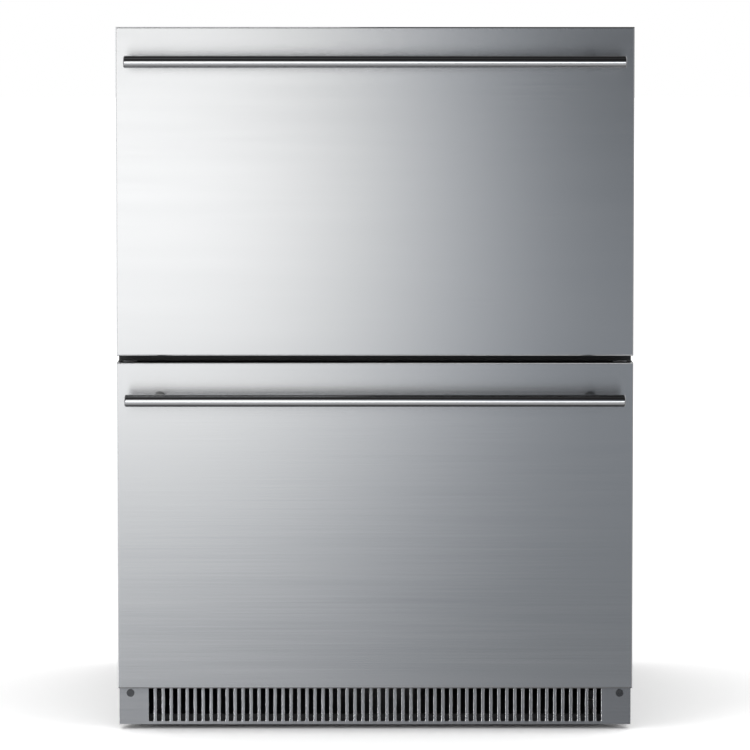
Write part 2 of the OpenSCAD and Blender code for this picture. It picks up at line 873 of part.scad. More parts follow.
module at_heat_fan()
    translate([condenser_x, heat_fan_y, heat_fan_z])
        children();

module evaporator_fan_housing()
    color("white") at_cool_fan() fan_housing(cool_fan_r, cool_fan_r + fan_rim_w);

module evaporator_fan() color("lightgray") at_cool_fan() fan_wheel(cool_fan_r);

module condenser_fan_housing()
    color([0.2, 0.2, 0.2]) at_heat_fan() fan_housing(heat_fan_r, coil_h / 2);

module condenser_fan() color([0.1, 0.1, 0.1]) at_heat_fan() fan_wheel(heat_fan_r);

tray_t = 2;
tray_clear = 6;

// Tray on the base pan that melted frost drains into
module drip_tray()
    color("black") {
        x = [condenser_x - tray_half_w, condenser_x + tray_half_w];
        y = [condenser_y, cover_y - cover_flange_w];
        h = condenser_z - pan_top_z - tray_clear;
        difference() {
            block(x, y, [pan_top_z, pan_top_z + h]);
            block([x[0] + tray_t, x[1] - tray_t], [y[0] + tray_t, y[1] - tray_t],
                  [pan_top_z + tray_t, pan_top_z + h + over]);
        }
    }

pipe_d = tube_d;
pipe_bend_r = 2 * pipe_d;
drier_d = 2 * pipe_d;
drier_l = 80;

// Quarter bend from +Z into +X, with its inlet at the origin
module bend_x()
    translate([pipe_bend_r, 0, 0])
        rotate([90, 0, 0])
            rotate([0, 0, 90])
                rotate_extrude(angle = 90)
                    translate([pipe_bend_r, 0])
                        circle(d = pipe_d, $fn = 24);

// Straight pipe over a range of Z, at the origin's X and Y
module riser(z)
    translate([0, 0, z[0]])
        cylinder(d = pipe_d, h = z[1] - z[0], $fn = 24);

// Straight pipe over a range of X
module run_x(x, z)
    translate([x[0], 0, z])
        rotate([0, 90, 0])
            cylinder(d = pipe_d, h = x[1] - x[0], $fn = 24);

// Pipe from the open end of a coil's tube into a riser that stands at the origin's X
module coil_outlet(coil_x, z) {
    run_x([coil_x, -pipe_bend_r], z);
    translate([0, 0, z + pipe_bend_r])
        rotate([0, 180, 0])
            bend_x();
}

// Discharge, suction and liquid pipes of the bay, the last with its drier
module refrigerant_tubes()
    color("peru") {
        top_z = mount_plate_z + mount_plate_t + shell_h;
        cross_z = top_z + pipe_bend_r;
        riser_x = condenser_x + condenser_w / 2 + tube_pitch;
        row_z = [for (row = [0, coil_rows - 1]) condenser_z + (row + 0.5) * tube_pitch];
        rank_y = [for (rank = [0, 1]) condenser_y + (rank + 0.5) * tube_pitch];
        discharge_x = compressor_x - shell_r / 4;
        translate([compressor_x + shell_r / 3, compressor_y, 0])
            riser([top_z, bay_z]);
        translate([discharge_x, rank_y[1], 0]) {
            riser([top_z, cross_z]);
            translate([0, 0, cross_z])
                mirror([1, 0, 0]) bend_x();
        }
        translate([riser_x, rank_y[1], 0]) {
            run_x([pipe_bend_r, discharge_x - riser_x - pipe_bend_r], cross_z + pipe_bend_r);
            translate([0, 0, cross_z])
                bend_x();
            riser([row_z[1] + pipe_bend_r, cross_z]);
            coil_outlet(-tube_pitch, row_z[1]);
        }
        translate([riser_x, rank_y[0], 0]) {
            coil_outlet(-tube_pitch, row_z[0]);
            riser([row_z[0] + pipe_bend_r, bay_z]);
            translate([0, 0, heat_fan_z])
                cylinder(d = drier_d, h = drier_l);
        }
    }

// ---- Controls and light ----

panel_r = 6;
display_inset = 14;
display_h = 14;
display_t = 1;

// Moulded housing under the ceiling, with pockets for the buttons and a recess for the display
module control_panel()
    color("gainsboro") {
        y = mouth_y + panel_setback;
        difference() {
            along_y([y, y + panel_d])
                translate([0, button_z])
                    intersection() {
                        translate([0, panel_r])
                            round_rect(panel_w, panel_h + 2 * panel_r, panel_r);
                        square([panel_w, panel_h], center = true);
                    }
            for (x = button_xs)
                block([x - button_w / 2 - rest_gap, x + button_w / 2 + rest_gap],
                      [y - over, y + button_stem_l + button_travel + rest_gap],
                      [button_z - button_h / 2 - rest_gap, button_z + button_h / 2 + rest_gap]);
            block([display_inset - panel_w / 2, display_inset + display_w - panel_w / 2],
                  [y - over, y + display_t], [button_z - display_h / 2, button_z + display_h / 2]);
        }
    }

// Push button with a softly rounded face
module push_button(x) {
    y = mouth_y + panel_setback;
    along_y([y - button_proud, y + button_stem_l])
        translate([x, button_z])
            round_rect(button_w, button_h, 2);
}

module power_button() color("darkgray") push_button(button_xs[0]);

module colder_button() color("darkgray") push_button(button_xs[1]);

module warmer_button() color("darkgray") push_button(button_xs[2]);

module light_lens()
    color("white")
        translate([0, mouth_y + panel_setback + panel_d + lens_w, ceiling_z - lens_h])
            linear_extrude(lens_h)
                round_rect(lens_l, lens_w, lens_w / 2 - 1);

// ---- Feet ----

// Levelling foot: round pad, hexagon for the spanner and threaded stem
module foot(side, y)
    color("black")
        translate([side * foot_x, y, 0]) {
            rotate_extrude()
                polygon([[0, 0], [foot_pad_d / 2, 0], [foot_pad_d / 2, foot_pad_h / 2],
                         [foot_pad_d / 2 - foot_pad_h / 2, foot_pad_h], [0, foot_pad_h]]);
            translate([0, 0, foot_pad_h])
                cylinder(d = 1.9 * foot_stem_d, h = pan_z - foot_pad_h - rest_gap, $fn = 6);
            translate([0, 0, foot_pad_h])
                cylinder(d = foot_stem_d, h = pan_top_z + foot_boss_h + foot_spare_l - foot_pad_h);
        }

module front_left_foot() foot(-1, foot_ys[0]);

module front_right_foot() foot(1, foot_ys[0]);

module rear_left_foot() foot(-1, foot_ys[1]);

module rear_right_foot() foot(1, foot_ys[1]);

// ---- Telescopic slides ----

// Channel in X and Z about the slide's centre height, open towards -X and lipped at the open edge
module channel(x, h, lip) {
    mid = (x[0] + x[1]) / 2;
    difference() {
        translate([mid, 0])
            round_rect(x[1] - x[0], h, slide_t);
        translate([x[0] - over, -h / 2 + slide_t])
            square([x[1] - x[0] - slide_t + over, h - 2 * slide_t]);
    }
    for (s = [0, 1])
        mirror([0, s])
            translate([x[0], h / 2 - slide_t - lip])
                square([slide_t, lip + slide_t / 2]);
}

race_lip = 1.5;
middle_h = slide_h - 2 * (slide_t + race_lip + slide_gap);
inner_h = middle_h - 2 * (slide_t + race_lip + slide_gap);
// Distance that each member stands back from the drawer's side of the next
member_step = 2 * slide_t;

module outer_profile()
    channel([cavity_half_w - slide_w + member_step + slide_t, cavity_half_w], slide_h, race_lip);

// Two channels back to back round one web
module middle_profile() {
    web_x = cavity_half_w - slide_w / 2;
    back_x = cavity_half_w - slide_t - slide_gap - slide_t / 2;
    front_x = cavity_half_w - slide_w + slide_t + slide_gap;
    channel([front_x, web_x + slide_t / 2], middle_h, race_lip);
    for (s = [0, 1])
        mirror([0, s])
            translate([web_x, middle_h / 2 - slide_t])
                square([back_x - web_x, slide_t]);
}

module inner_profile()
    mirror([1, 0])
        channel([-(cavity_half_w - slide_w + member_step + 2 * slide_t), -frame_half_w],
                inner_h, 0);

// The two slides of a drawer, from a member's profile
module slide_pair(z, y)
    both_sides()
        along_y([slide_y, y])
            translate([0, z])
                children();

upper_slide_z = upper_frame_z + slide_rise + slide_h / 2;
lower_slide_z = lower_frame_z + slide_rise + slide_h / 2;

module slide_outer_members()
    color("lightgray") {
        slide_pair(upper_slide_z, upper_slide_y) outer_profile();
        slide_pair(lower_slide_z, lower_slide_y) outer_profile();
    }

module upper_slide_middles()
    color("silver") slide_pair(upper_slide_z, upper_slide_y) middle_profile();

module lower_slide_middles()
    color("silver") slide_pair(lower_slide_z, lower_slide_y) middle_profile();

module upper_slide_inners()
    color("silver") slide_pair(upper_slide_z, upper_slide_y) inner_profile();

module lower_slide_inners()
    color("silver") slide_pair(lower_slide_z, lower_slide_y) inner_profile();

// ---- Drawer fronts; z is the height of the front's bottom edge ----

// Front's outer shape, drawn in by inset on every side but the rear
module front_shape(z, inset, back_y) {
    r = skin_r - inset / 2;
    intersection() {
        translate([0, 0, z + inset])
            linear_extrude(front_h - 2 * inset)
                nosed_rect(cabinet_w - 2 * inset, [face_y + inset, back_y], r);
        along_x([-half_w, half_w])
            translate([0, z + front_h / 2])
                mirror([1, 0])
                    rotate(90)
                        nosed_rect(front_h - 2 * inset, [face_y + inset, back_y], r);
    }
}

// Heights of a front's two caps
function cap_spans(z) = [
    [z + cap_drop, z + cap_t], [z + front_h - cap_t, z + front_h - cap_drop]
];

frame_screw_l = 16;
frame_screw_inset = 40;
frame_screw_x = frame_half_w - frame_screw_inset;

module front_skin(z)
    color("silver")
        difference() {
            front_shape(z, 0, front_back_y);
            front_shape(z, skin_t, front_back_y + over);
            block([-half_w + skin_t, half_w - skin_t], [face_y + lip_d, front_back_y + over],
                  [z - over, z + front_h + over]);
            post_holes(z, face_y - over, face_y + skin_t + over);
        }

// Clearance holes of the handle's screws
module post_holes(z, y0, y1)
    both_sides()
        rod_y(screw_d + 2 * pass_gap, [y0, y1], post_x, z + front_h - bar_drop);

// Holes of the screws that hold the drawer's frame
module frame_holes(z, y0, y1, gap)
    both_sides()
        for (k = [1, 3])
            rod_y(screw_d + 2 * gap, [y0, y1], frame_screw_x, z + k * frame_h / 4);

module front_foam(z, frame_z)
    color("khaki")
        difference() {
            intersection() {
                front_shape(z, skin_t, front_back_y);
                union() {
                    block([-half_w, half_w], [face_y, front_back_y - liner_t],
                          [z + cap_t, z + front_h - cap_t]);
                    block([-half_w, half_w], [face_y, face_y + lip_d], [z, z + front_h]);
                }
            }
            post_holes(z, face_y, front_back_y);
            frame_holes(frame_z, front_back_y - frame_screw_l, front_back_y, pass_gap);
        }

// Moulded rear face of a front, with the groove that holds the seal and an embossed pad above
// the drawer's frame
module front_liner(z, frame_z, cavity_top_z)
    color("white") {
        pad_z = [frame_z + frame_h + pad_inset / 2, cavity_top_z - pad_inset];
        difference() {
            along_y([front_back_y, front_back_y + pad_t])
                translate([0, (pad_z[0] + pad_z[1]) / 2])
                    round_rect(2 * (cavity_half_w - pad_inset), pad_z[1] - pad_z[0], liner_r);
            both_sides()
                rod_y(screw_head_d + 2 * pass_gap, [front_back_y - over, front_back_y + pad_t + over],
                      post_x, z + front_h - bar_drop);
        }
        difference() {
            block([-half_w + skin_t, half_w - skin_t], [front_back_y - liner_t, front_back_y],
                  [z + cap_drop, z + front_h - cap_drop]);
            seal_ring(z, (seal_w - seal_rib_w) / 2 - pass_gap,
                      [front_back_y - liner_t / 2 - run_gap, front_back_y + over]);
            post_holes(z, front_back_y - 2 * liner_t, front_back_y + over);
            frame_holes(frame_z, front_back_y - 2 * liner_t, front_back_y + over, pass_gap);
        }
    }

// Ring in line with the seal, drawn in by inset on both of its edges
module seal_ring(z, inset, y)
    along_y(y)
        translate([0, z + front_h / 2])
            difference() {
                square([cabinet_w - 2 * (seal_inset + inset),
                        front_h - 2 * (seal_inset + inset)], center = true);
                square([cabinet_w - 2 * (seal_inset + seal_w - inset),
                        front_h - 2 * (seal_inset + seal_w - inset)], center = true);
            }

// Seal: rib, flat base and magnetic bead
module seal(z)
    color([0.12, 0.12, 0.12]) {
        seal_ring(z, (seal_w - seal_rib_w) / 2, [front_back_y - liner_t / 2, front_back_y]);
        seal_ring(z, 0, [front_back_y, front_back_y + seal_base_t]);
        seal_ring(z, (seal_w - seal_bead_w) / 2, [front_back_y + seal_base_t, mouth_y - rest_gap]);
    }

// Range of Y and X of a cap's rear corner plug, on the right
plug_y = [front_back_y - liner_t - plug_w, front_back_y - liner_t];
plug_x = [half_w - skin_t - plug_inset - plug_w, half_w - skin_t - plug_inset];

module front_caps(z)
    color([0.1, 0.1, 0.1])
        for (span = cap_spans(z))
            difference() {
                block([-half_w + skin_t, half_w - skin_t],
                      [face_y + lip_d, front_back_y - liner_t], span);
                both_sides()
                    block(plug_x, [plug_y[0], plug_y[1] + over],
                          [span[0] - over, span[1] + over]);
            }

module corner_plugs(z)
    color("lightgray")
        for (span = cap_spans(z))
            both_sides()
                block(plug_x, plug_y, span);

// ---- Handles ----

module handle_bar(z)
    color("silver")
        translate([-bar_l / 2, face_y - bar_standoff, z + front_h - bar_drop])
            rotate([0, 90, 0])
                rotate_extrude() {
                    square([bar_d / 2 - bar_edge_r, bar_l]);
                    translate([0, bar_edge_r])
                        square([bar_d / 2, bar_l - 2 * bar_edge_r]);
                    for (y = [bar_edge_r, bar_l - bar_edge_r])
                        translate([bar_d / 2 - bar_edge_r, y])
                            circle(bar_edge_r, $fn = 32);
                }

// Posts with a saddle that fits the bar and a blind hole for the screw
module handle_posts(z)
    color("dimgray")
        translate([0, 0, z + front_h - bar_drop])
            both_sides()
                difference() {
                    rod_y(post_d, [face_y - bar_standoff, face_y], post_x, 0);
                    translate([0, face_y - bar_standoff, 0])
                        rotate([0, 90, 0])
                            cylinder(d = bar_d + 2 * run_gap, h = cabinet_w);
                    rod_y(screw_d + 2 * run_gap,
                          [face_y - post_thread_l - over, face_y + over], post_x, 0);
                }

// Screws of the handle's posts and of the drawer's frame
module front_screws(z, frame_z)
    color("gray")
        both_sides() {
            screw_y(screw_d, screw_head_d, screw_head_h, front_back_y, front_t + post_thread_l,
                    post_x, z + front_h - bar_drop, -1);
            for (k = [1, 3])
                screw_y(screw_d, screw_head_d, screw_head_h, front_back_y + frame_t,
                        frame_screw_l, frame_screw_x, frame_z + k * frame_h / 4, -1);
        }

// ---- Drawer frames and bins ----

// Steel tray frame: front plate, two flanged sides and a rear bar
module drawer_frame(frame_z, back_y)
    color("lightgray") {
        difference() {
            block([-frame_half_w, frame_half_w], [front_back_y, front_back_y + frame_t],
                  [frame_z, frame_z + frame_h]);
            frame_holes(frame_z, front_back_y - over, front_back_y + frame_t + over, pass_gap);
        }
        both_sides() {
            block([frame_half_w - frame_t, frame_half_w], [front_back_y + frame_t, back_y],
                  [frame_z, frame_z + frame_h]);
            block([frame_half_w - frame_flange_w, frame_half_w - frame_t],
                  [front_back_y + frame_t, back_y], [frame_z, frame_z + frame_t]);
        }
        block([-frame_half_w + frame_t, frame_half_w - frame_t], [back_y - frame_t, back_y],
              [frame_z + frame_t, frame_z + frame_h]);
    }

// Thin slice of a tub, drawn in by inset
module tub_slice(w, d, r, inset, z)
    translate([0, 0, z])
        linear_extrude(slice_t)
            round_rect(w - 2 * inset, d - 2 * inset, r - inset);

// Solid tub whose walls lean outwards from a round floor edge to the top
module tub(w, d, r, floor_r, z)
    hull() {
        for (a = [0:22.5:90])
            tub_slice(w, d, r, bin_lean + floor_r * (1 - sin(a)), z[0] + floor_r * (1 - cos(a)));
        tub_slice(w, d, r, 0, z[1] - slice_t);
    }

// Moulded bin that stands on the frame's flanges, with an outward rim and a ribbed floor
module bin(frame_z, back_y, top_z)
    color("whitesmoke") {
        w = 2 * (frame_half_w - frame_t - bin_gap);
        y = [front_back_y + bin_setback, back_y - frame_t - bin_rim_w - bin_gap];
        d = y[1] - y[0];
        z = frame_z + frame_t;
        translate([0, (y[0] + y[1]) / 2, 0]) {
            difference() {
                tub(w, d, bin_r, bin_floor_r, [z, top_z]);
                tub(w - 2 * bin_t, d - 2 * bin_t, bin_r - bin_t, bin_floor_r - bin_t,
                    [z + bin_t, top_z + over]);
            }
            translate([0, 0, top_z - bin_t])
                linear_extrude(bin_t)
                    difference() {
                        round_rect(w + 2 * bin_rim_w, d + 2 * bin_rim_w, bin_r + bin_rim_w);
                        round_rect(w - bin_t, d - bin_t, bin_r - bin_t / 2);
                    }
            for (k = [-bin_rib_rows:bin_rib_rows])
                block([k * bin_rib_pitch - bin_t / 2, k * bin_rib_pitch + bin_t / 2],
                      [-d / 2 + 2 * bin_r, d / 2 - 2 * bin_r], [z + bin_t, z + bin_t + bin_rib_h]);
        }
    }

module upper_front_skin() front_skin(upper_z);
module upper_front_foam() front_foam(upper_z, upper_frame_z);
module upper_front_liner() front_liner(upper_z, upper_frame_z, ceiling_z);
module upper_front_caps() front_caps(upper_z);
module upper_corner_plugs() corner_plugs(upper_z);
module upper_seal() seal(upper_z);
module upper_handle_bar() handle_bar(upper_z);
module upper_handle_posts() handle_posts(upper_z);
module upper_front_screws() front_screws(upper_z, upper_frame_z);
module upper_drawer_frame() drawer_frame(upper_frame_z, upper_slide_y);
module upper_bin() bin(upper_frame_z, upper_slide_y, upper_bin_top_z);
module lower_front_skin() front_skin(lower_z);
module lower_front_foam() front_foam(lower_z, lower_frame_z);
module lower_front_liner() front_liner(lower_z, lower_frame_z, rail_z);
module lower_front_caps() front_caps(lower_z);
module lower_corner_plugs() corner_plugs(lower_z);
module lower_seal() seal(lower_z);
module lower_handle_bar() handle_bar(lower_z);
module lower_handle_posts() handle_posts(lower_z);
module lower_front_screws() front_screws(lower_z, lower_frame_z);
module lower_drawer_frame() drawer_frame(lower_frame_z, lower_slide_y);
module lower_bin() bin(lower_frame_z, lower_slide_y, lower_bin_top_z);

left_side_panel();
right_side_panel();
top_panel();
rear_panel();
base_pan();
floor_panel();
cabinet_foam();
inner_liner();
mullion_rail();
toe_grille();
cover_screws();
machine_cover();
cord_gland();
compressor();
compressor_mounts();
condenser();
condenser_fan_housing();
condenser_fan();
drip_tray();
evaporator();
evaporator_cover();
evaporator_fan_housing();
evaporator_fan();
refrigerant_tubes();
control_panel();
power_button();
colder_button();
warmer_button();
light_lens();
front_left_foot();
front_right_foot();
rear_left_foot();
rear_right_foot();
slide_outer_members();
upper_slide_middles();
lower_slide_middles();
upper_front_skin();
upper_front_foam();
upper_front_liner();
upper_front_caps();
upper_corner_plugs();
upper_seal();
upper_handle_bar();
upper_handle_posts();
upper_front_screws();
upper_drawer_frame();
upper_bin();
upper_slide_inners();
lower_front_skin();
lower_front_foam();
lower_front_liner();
lower_front_caps();
lower_corner_plugs();
lower_seal();
lower_handle_bar();
lower_handle_posts();
lower_front_screws();
lower_drawer_frame();
lower_bin();
lower_slide_inners();
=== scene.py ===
# %% [markdown]
# # Undercounter drawer refrigerator
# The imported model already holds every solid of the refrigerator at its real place, in metres. This lesson
# dresses it: it sets a camera and a small studio, gives each solid a finish that is worked out by shader
# nodes, and adds the soft and fine pieces that are easier to shape as meshes than as solids.

# %% Load the solids
import math

import bmesh
import bpy
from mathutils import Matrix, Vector


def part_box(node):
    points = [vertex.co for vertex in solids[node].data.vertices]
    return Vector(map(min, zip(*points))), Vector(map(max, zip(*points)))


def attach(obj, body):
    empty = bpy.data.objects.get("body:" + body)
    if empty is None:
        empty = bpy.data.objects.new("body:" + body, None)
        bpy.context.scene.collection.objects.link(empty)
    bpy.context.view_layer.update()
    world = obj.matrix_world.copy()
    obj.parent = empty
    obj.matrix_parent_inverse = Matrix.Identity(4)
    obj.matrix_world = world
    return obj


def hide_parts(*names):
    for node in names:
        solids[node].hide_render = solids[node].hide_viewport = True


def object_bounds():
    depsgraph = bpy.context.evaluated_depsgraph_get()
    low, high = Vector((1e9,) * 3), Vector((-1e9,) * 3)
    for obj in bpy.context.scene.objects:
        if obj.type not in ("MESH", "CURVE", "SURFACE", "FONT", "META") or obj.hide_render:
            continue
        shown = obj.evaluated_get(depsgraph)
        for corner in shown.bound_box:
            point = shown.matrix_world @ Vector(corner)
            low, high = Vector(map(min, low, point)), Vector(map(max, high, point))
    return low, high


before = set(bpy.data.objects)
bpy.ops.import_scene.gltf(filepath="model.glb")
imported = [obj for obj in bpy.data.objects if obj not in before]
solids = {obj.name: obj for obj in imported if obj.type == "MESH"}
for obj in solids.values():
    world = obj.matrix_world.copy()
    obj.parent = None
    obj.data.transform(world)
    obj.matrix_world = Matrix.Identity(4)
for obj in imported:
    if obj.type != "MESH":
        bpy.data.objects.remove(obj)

scene = bpy.context.scene
cad_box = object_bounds()

# %% [markdown]
# ## The camera
# The photograph is taken square to the fronts, from about the height of the cabinet's top: the top itself
# doesn't show, while each bar's reflection appears just above the bar. A long lens far away keeps the
# upright edges upright, which a short lens that looks down can't do. What is left of the downward look
# is shared between a small tilt and a small lens shift.

# %% Camera
FACE_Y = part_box("upper_front_skin")[0].y
EYE_DISTANCE = 5.0
EYE_HEIGHT = 0.80
EYE_TILT = math.radians(3.77)
LENS_LENGTH = 208.07
LENS_SHIFT = -0.06

camera_data = bpy.data.cameras.new("studio_camera")
camera_data.lens = LENS_LENGTH
camera_data.shift_y = LENS_SHIFT
camera = bpy.data.objects.new("studio_camera", camera_data)
camera.location = (0, FACE_Y - EYE_DISTANCE, EYE_HEIGHT)
camera.rotation_euler = (math.radians(90) - EYE_TILT, 0, 0)
scene.collection.objects.link(camera)
scene.camera = camera
scene.view_settings.view_transform = "Standard"
print("camera at", tuple(round(v, 3) for v in camera.location))

# %% [markdown]
# ## Shader maths
# A finish is a small program: it takes the place of a point on the piece, and gives a colour, a roughness
# and a bump. Written node by node it would be hard to read, so a node's output is wrapped in a class with
# operators, and `1 - mask` or `grain * 0.2 + 0.3` adds the Math nodes by itself. Every other node comes
# from one method, which takes its type, its settings and its inputs.

# %% Expressions on sockets
class Value:
    """Output of a shader node, which can stand in an expression like a number."""

    def __init__(self, finish, socket):
        self.finish = finish
        self.socket = socket

    def math(self, operation, *terms):
        return self.finish.node("ShaderNodeMath", {"operation": operation}, dict(enumerate(terms)))

    def __add__(self, other):
        return self.math("ADD", self, other)

    __radd__ = __add__

    def __sub__(self, other):
        return self.math("SUBTRACT", self, other)

    def __rsub__(self, other):
        return self.math("SUBTRACT", other, self)

    def __mul__(self, other):
        return self.math("MULTIPLY", self, other)

    __rmul__ = __mul__

    def __truediv__(self, other):
        return self.math("DIVIDE", self, other)

    def __rtruediv__(self, other):
        return self.math("DIVIDE", other, self)


print("outputs of nodes can be added, subtracted, multiplied and divided")


# %% One method for every node
class Finish:
    """Material in the making: a Principled shader with constants, fed by nodes."""

    def __init__(self, name, constants):
        self.material = bpy.data.materials.new(name)
        self.material.use_nodes = True
        self.tree = self.material.node_tree
        self.shader = self.tree.nodes["Principled BSDF"]
        self.set(constants)

    def set(self, inputs):
        for name, value in inputs.items():
            self.feed(self.shader.inputs[name], value)

    def feed(self, socket, value):
        if isinstance(value, Value):
            self.tree.links.new(value.socket, socket)
        else:
            socket.default_value = value

    def node(self, kind, settings, inputs, out=0):
        node = self.tree.nodes.new(kind)
        for name, value in settings.items():
            if name == "stops":
                self.set_stops(node.color_ramp, value)
            else:
                setattr(node, name, value)
        for name, value in inputs.items():
            self.feed(node.inputs[name], value)
        return Value(self, node.outputs[out])

    @staticmethod
    def set_stops(ramp, stops):
        while len(ramp.elements) < len(stops):
            ramp.elements.new(1)
        for element, (position, shade) in zip(ramp.elements, stops):
            element.position = position
            element.color = (*shade, 1) if isinstance(shade, tuple) else (shade, shade, shade, 1)

    def place(self):
        """Place of the point on its piece, in metres along the piece's own axes."""
        return self.node("ShaderNodeTexCoord", {}, {}, "Object")

    def along(self, axis):
        return self.node("ShaderNodeSeparateXYZ", {}, {0: self.place()}, axis)

    def noise(self, stretch, detail=3, roughness=0.5):
        """Noise with so many grains to the metre along each axis, from 0 to 1."""
        scaled = self.node("ShaderNodeVectorMath", {"operation": "MULTIPLY"}, {0: self.place(), 1: stretch})
        return self.node("ShaderNodeTexNoise", {},
                         {"Vector": scaled, "Scale": 1, "Detail": detail, "Roughness": roughness})

    def blend(self, mask, low, high):
        """Colour that goes from low to high as the mask goes from 0 to 1."""
        low, high = ((*c, 1) if isinstance(c, tuple) else c for c in (low, high))
        return self.node("ShaderNodeMix", {"data_type": "RGBA"}, {0: mask, 6: low, 7: high}, 2)

    def bump(self, height, depth):
        """Normal of a surface that stands out by the height times so many metres."""
        return self.node("ShaderNodeBump", {}, {"Height": height, "Distance": depth})


finishes = {}
print("shader helpers ready")

# %% [markdown]
# ## Brushed stainless steel
# The fronts and the toe grille are stainless sheet with a satin brush that runs from side to side.
# Its grooves are far finer than a pixel, so they show as a smear: the sheet is rough across the brush and
# smooth along it, which the shader calls anisotropy. The smear is a constant of the shader, and the grain
# that can still be seen from near is a noise drawn out along the brush, in colour, roughness and bump.
#
# The other steels are the same recipe with another colour, roughness and grain: polished bars, zinc-grey
# frames, drawn slides and dark screws. The grille's sheet is the fronts' steel with a darker colour, which
# paints in the shade that falls on the grille in its recess under the fronts. The posts
# are photographed nearly black where they are seen along their side, so their steel has a dark tint at a
# flat angle, and is plain steel where it is looked at squarely.

# %% Steel
BROAD_GRAIN = (3, 40, 55)
FINE_SHARE = 0.7
STEEL_DARKEST = 0.9
STEEL_LIGHTEST = 1.06
FINE_SPREAD = 0.08
BROAD_SPREAD = 0.05


def steel(name, colour, roughness, grain_depth, smear=0.0, grain=(4, 500, 900), edge=1.0):
    """Steel finish; edge is its tint where it is seen at a flat angle."""
    finish = Finish(name, {"Metallic": 1.0, "Anisotropic": smear, "Anisotropic Rotation": 0.25,
                           "Specular Tint": (edge, edge, edge, 1)})
    fine = finish.noise(grain, detail=2)
    broad = finish.noise(BROAD_GRAIN, detail=2)
    dark = tuple(STEEL_DARKEST * c for c in colour)
    light = tuple(min(1.0, STEEL_LIGHTEST * c) for c in colour)
    smoothest = roughness - (FINE_SPREAD + BROAD_SPREAD) / 2
    finish.set({
        "Base Color": finish.blend(fine * FINE_SHARE + broad * (1 - FINE_SHARE), dark, light),
        "Roughness": fine * FINE_SPREAD + broad * BROAD_SPREAD + smoothest,
        "Normal": finish.bump(fine, grain_depth),
    })
    finishes[name] = finish.material


steel("brushed_steel", (0.615, 0.62, 0.63), 0.24, 0.000015, smear=0.7)
steel("polished_steel", (0.47, 0.475, 0.485), 0.12, 0.000004, grain=(6, 700, 700))
steel("frame_steel", (0.58, 0.59, 0.60), 0.34, 0.00002, grain=(60, 60, 60))
steel("slide_steel", (0.55, 0.56, 0.58), 0.26, 0.00001, grain=(300, 8, 500))
steel("screw_steel", (0.15, 0.15, 0.155), 0.26, 0.00001, grain=(400, 400, 400))
# same steel as the fronts with a darker colour: painted shade of the grille's recess under the fronts
steel("grille_steel", (0.47, 0.475, 0.49), 0.24, 0.000015, smear=0.7)
steel("post_steel", (0.40, 0.405, 0.415), 0.20, 0.000004, grain=(700, 6, 700), edge=0.08)
print("steels:", sorted(finishes))

# %% [markdown]
# ## Zinc-coated sheet
# Hidden sheets such as the rear panel and the pans are zinc-coated, and the coat freezes in flat crystals
# of a few millimetres, each a little lighter or darker than the next. A Voronoi texture gives each cell one
# random grey, which is how such crystals look.

# %% Zinc sheet
CRYSTALS_PER_METRE = 140.0


def zinc_sheet():
    finish = Finish("zinc_sheet", {"Metallic": 1.0})
    place = finish.place()
    crystal = finish.node("ShaderNodeTexVoronoi", {}, {"Vector": place, "Scale": CRYSTALS_PER_METRE}, "Color")
    tone = finish.node("ShaderNodeSeparateColor", {}, {0: crystal})
    haze = finish.noise((9, 9, 9))
    mask = tone * 0.6 + haze * 0.4
    finish.set({
        "Base Color": finish.blend(mask, (0.42, 0.43, 0.45), (0.62, 0.63, 0.65)),
        "Roughness": tone * 0.16 + 0.32,
        "Normal": finish.bump(finish.noise((70, 70, 70)), 0.0001),
    })
    finishes["zinc_sheet"] = finish.material


zinc_sheet()
print("zinc crystals of about", round(1000 / CRYSTALS_PER_METRE), "mm")

# %% [markdown]
# ## Plastics, enamel and rubber
# Moulded plastic is one colour all through, and what tells it from paint is its skin: a fine spark-eroded
# grain on matte pieces, a slow waviness on glossy ones. One function makes them all, from a colour, a
# roughness, the size of the grain and its depth. Dust and handling show as broad, faint patches.

# %% Plain coats
CLOUD_PER_METRE = 14
CLOUD_SHARE = 0.7
CLOUD_SPREAD = 0.10
GRAIN_SPREAD = 0.06


def coat(name, colour, roughness, grain_per_metre, grain_depth, patch=0.05, **constants):
    """Finish of one colour; patch is how much handling lightens it, constants are the shader's own."""
    finish = Finish(name, {key.replace("_", " "): value for key, value in constants.items()})
    grain = finish.noise((grain_per_metre,) * 3, detail=4)
    cloud = finish.noise((CLOUD_PER_METRE,) * 3, detail=4)
    dark = tuple((1 - 1.5 * patch) * c for c in colour)
    light = tuple(min(1.0, (1 + patch) * c) for c in colour)
    smoothest = roughness - (CLOUD_SPREAD + GRAIN_SPREAD) / 2
    finish.set({
        "Base Color": finish.blend(cloud * CLOUD_SHARE + grain * (1 - CLOUD_SHARE), dark, light),
        "Roughness": cloud * CLOUD_SPREAD + grain * GRAIN_SPREAD + smoothest,
        "Normal": finish.bump(grain, grain_depth),
    })
    finishes[name] = finish.material


coat("black_paint", (0.020, 0.020, 0.022), 0.42, 1500, 0.00003, patch=0.15)
coat("black_plastic", (0.016, 0.016, 0.018), 0.45, 1400, 0.00004, patch=0.2)
coat("grey_plastic", (0.60, 0.61, 0.62), 0.40, 1400, 0.00003)
coat("white_liner", (0.84, 0.85, 0.86), 0.26, 120, 0.00002, patch=0.02, Coat_Weight=0.2)
coat("bin_plastic", (0.78, 0.80, 0.82), 0.22, 160, 0.00002, patch=0.03, Coat_Weight=0.3)
coat("insulation", (0.80, 0.70, 0.42), 0.85, 420, 0.0004, patch=0.12)
coat("seal_rubber", (0.045, 0.045, 0.047), 0.55, 900, 0.00003, patch=0.15)
coat("black_enamel", (0.018, 0.018, 0.020), 0.18, 60, 0.0001, patch=0.2, Coat_Weight=0.6)
coat("button_plastic", (0.33, 0.34, 0.35), 0.36, 1200, 0.00003)
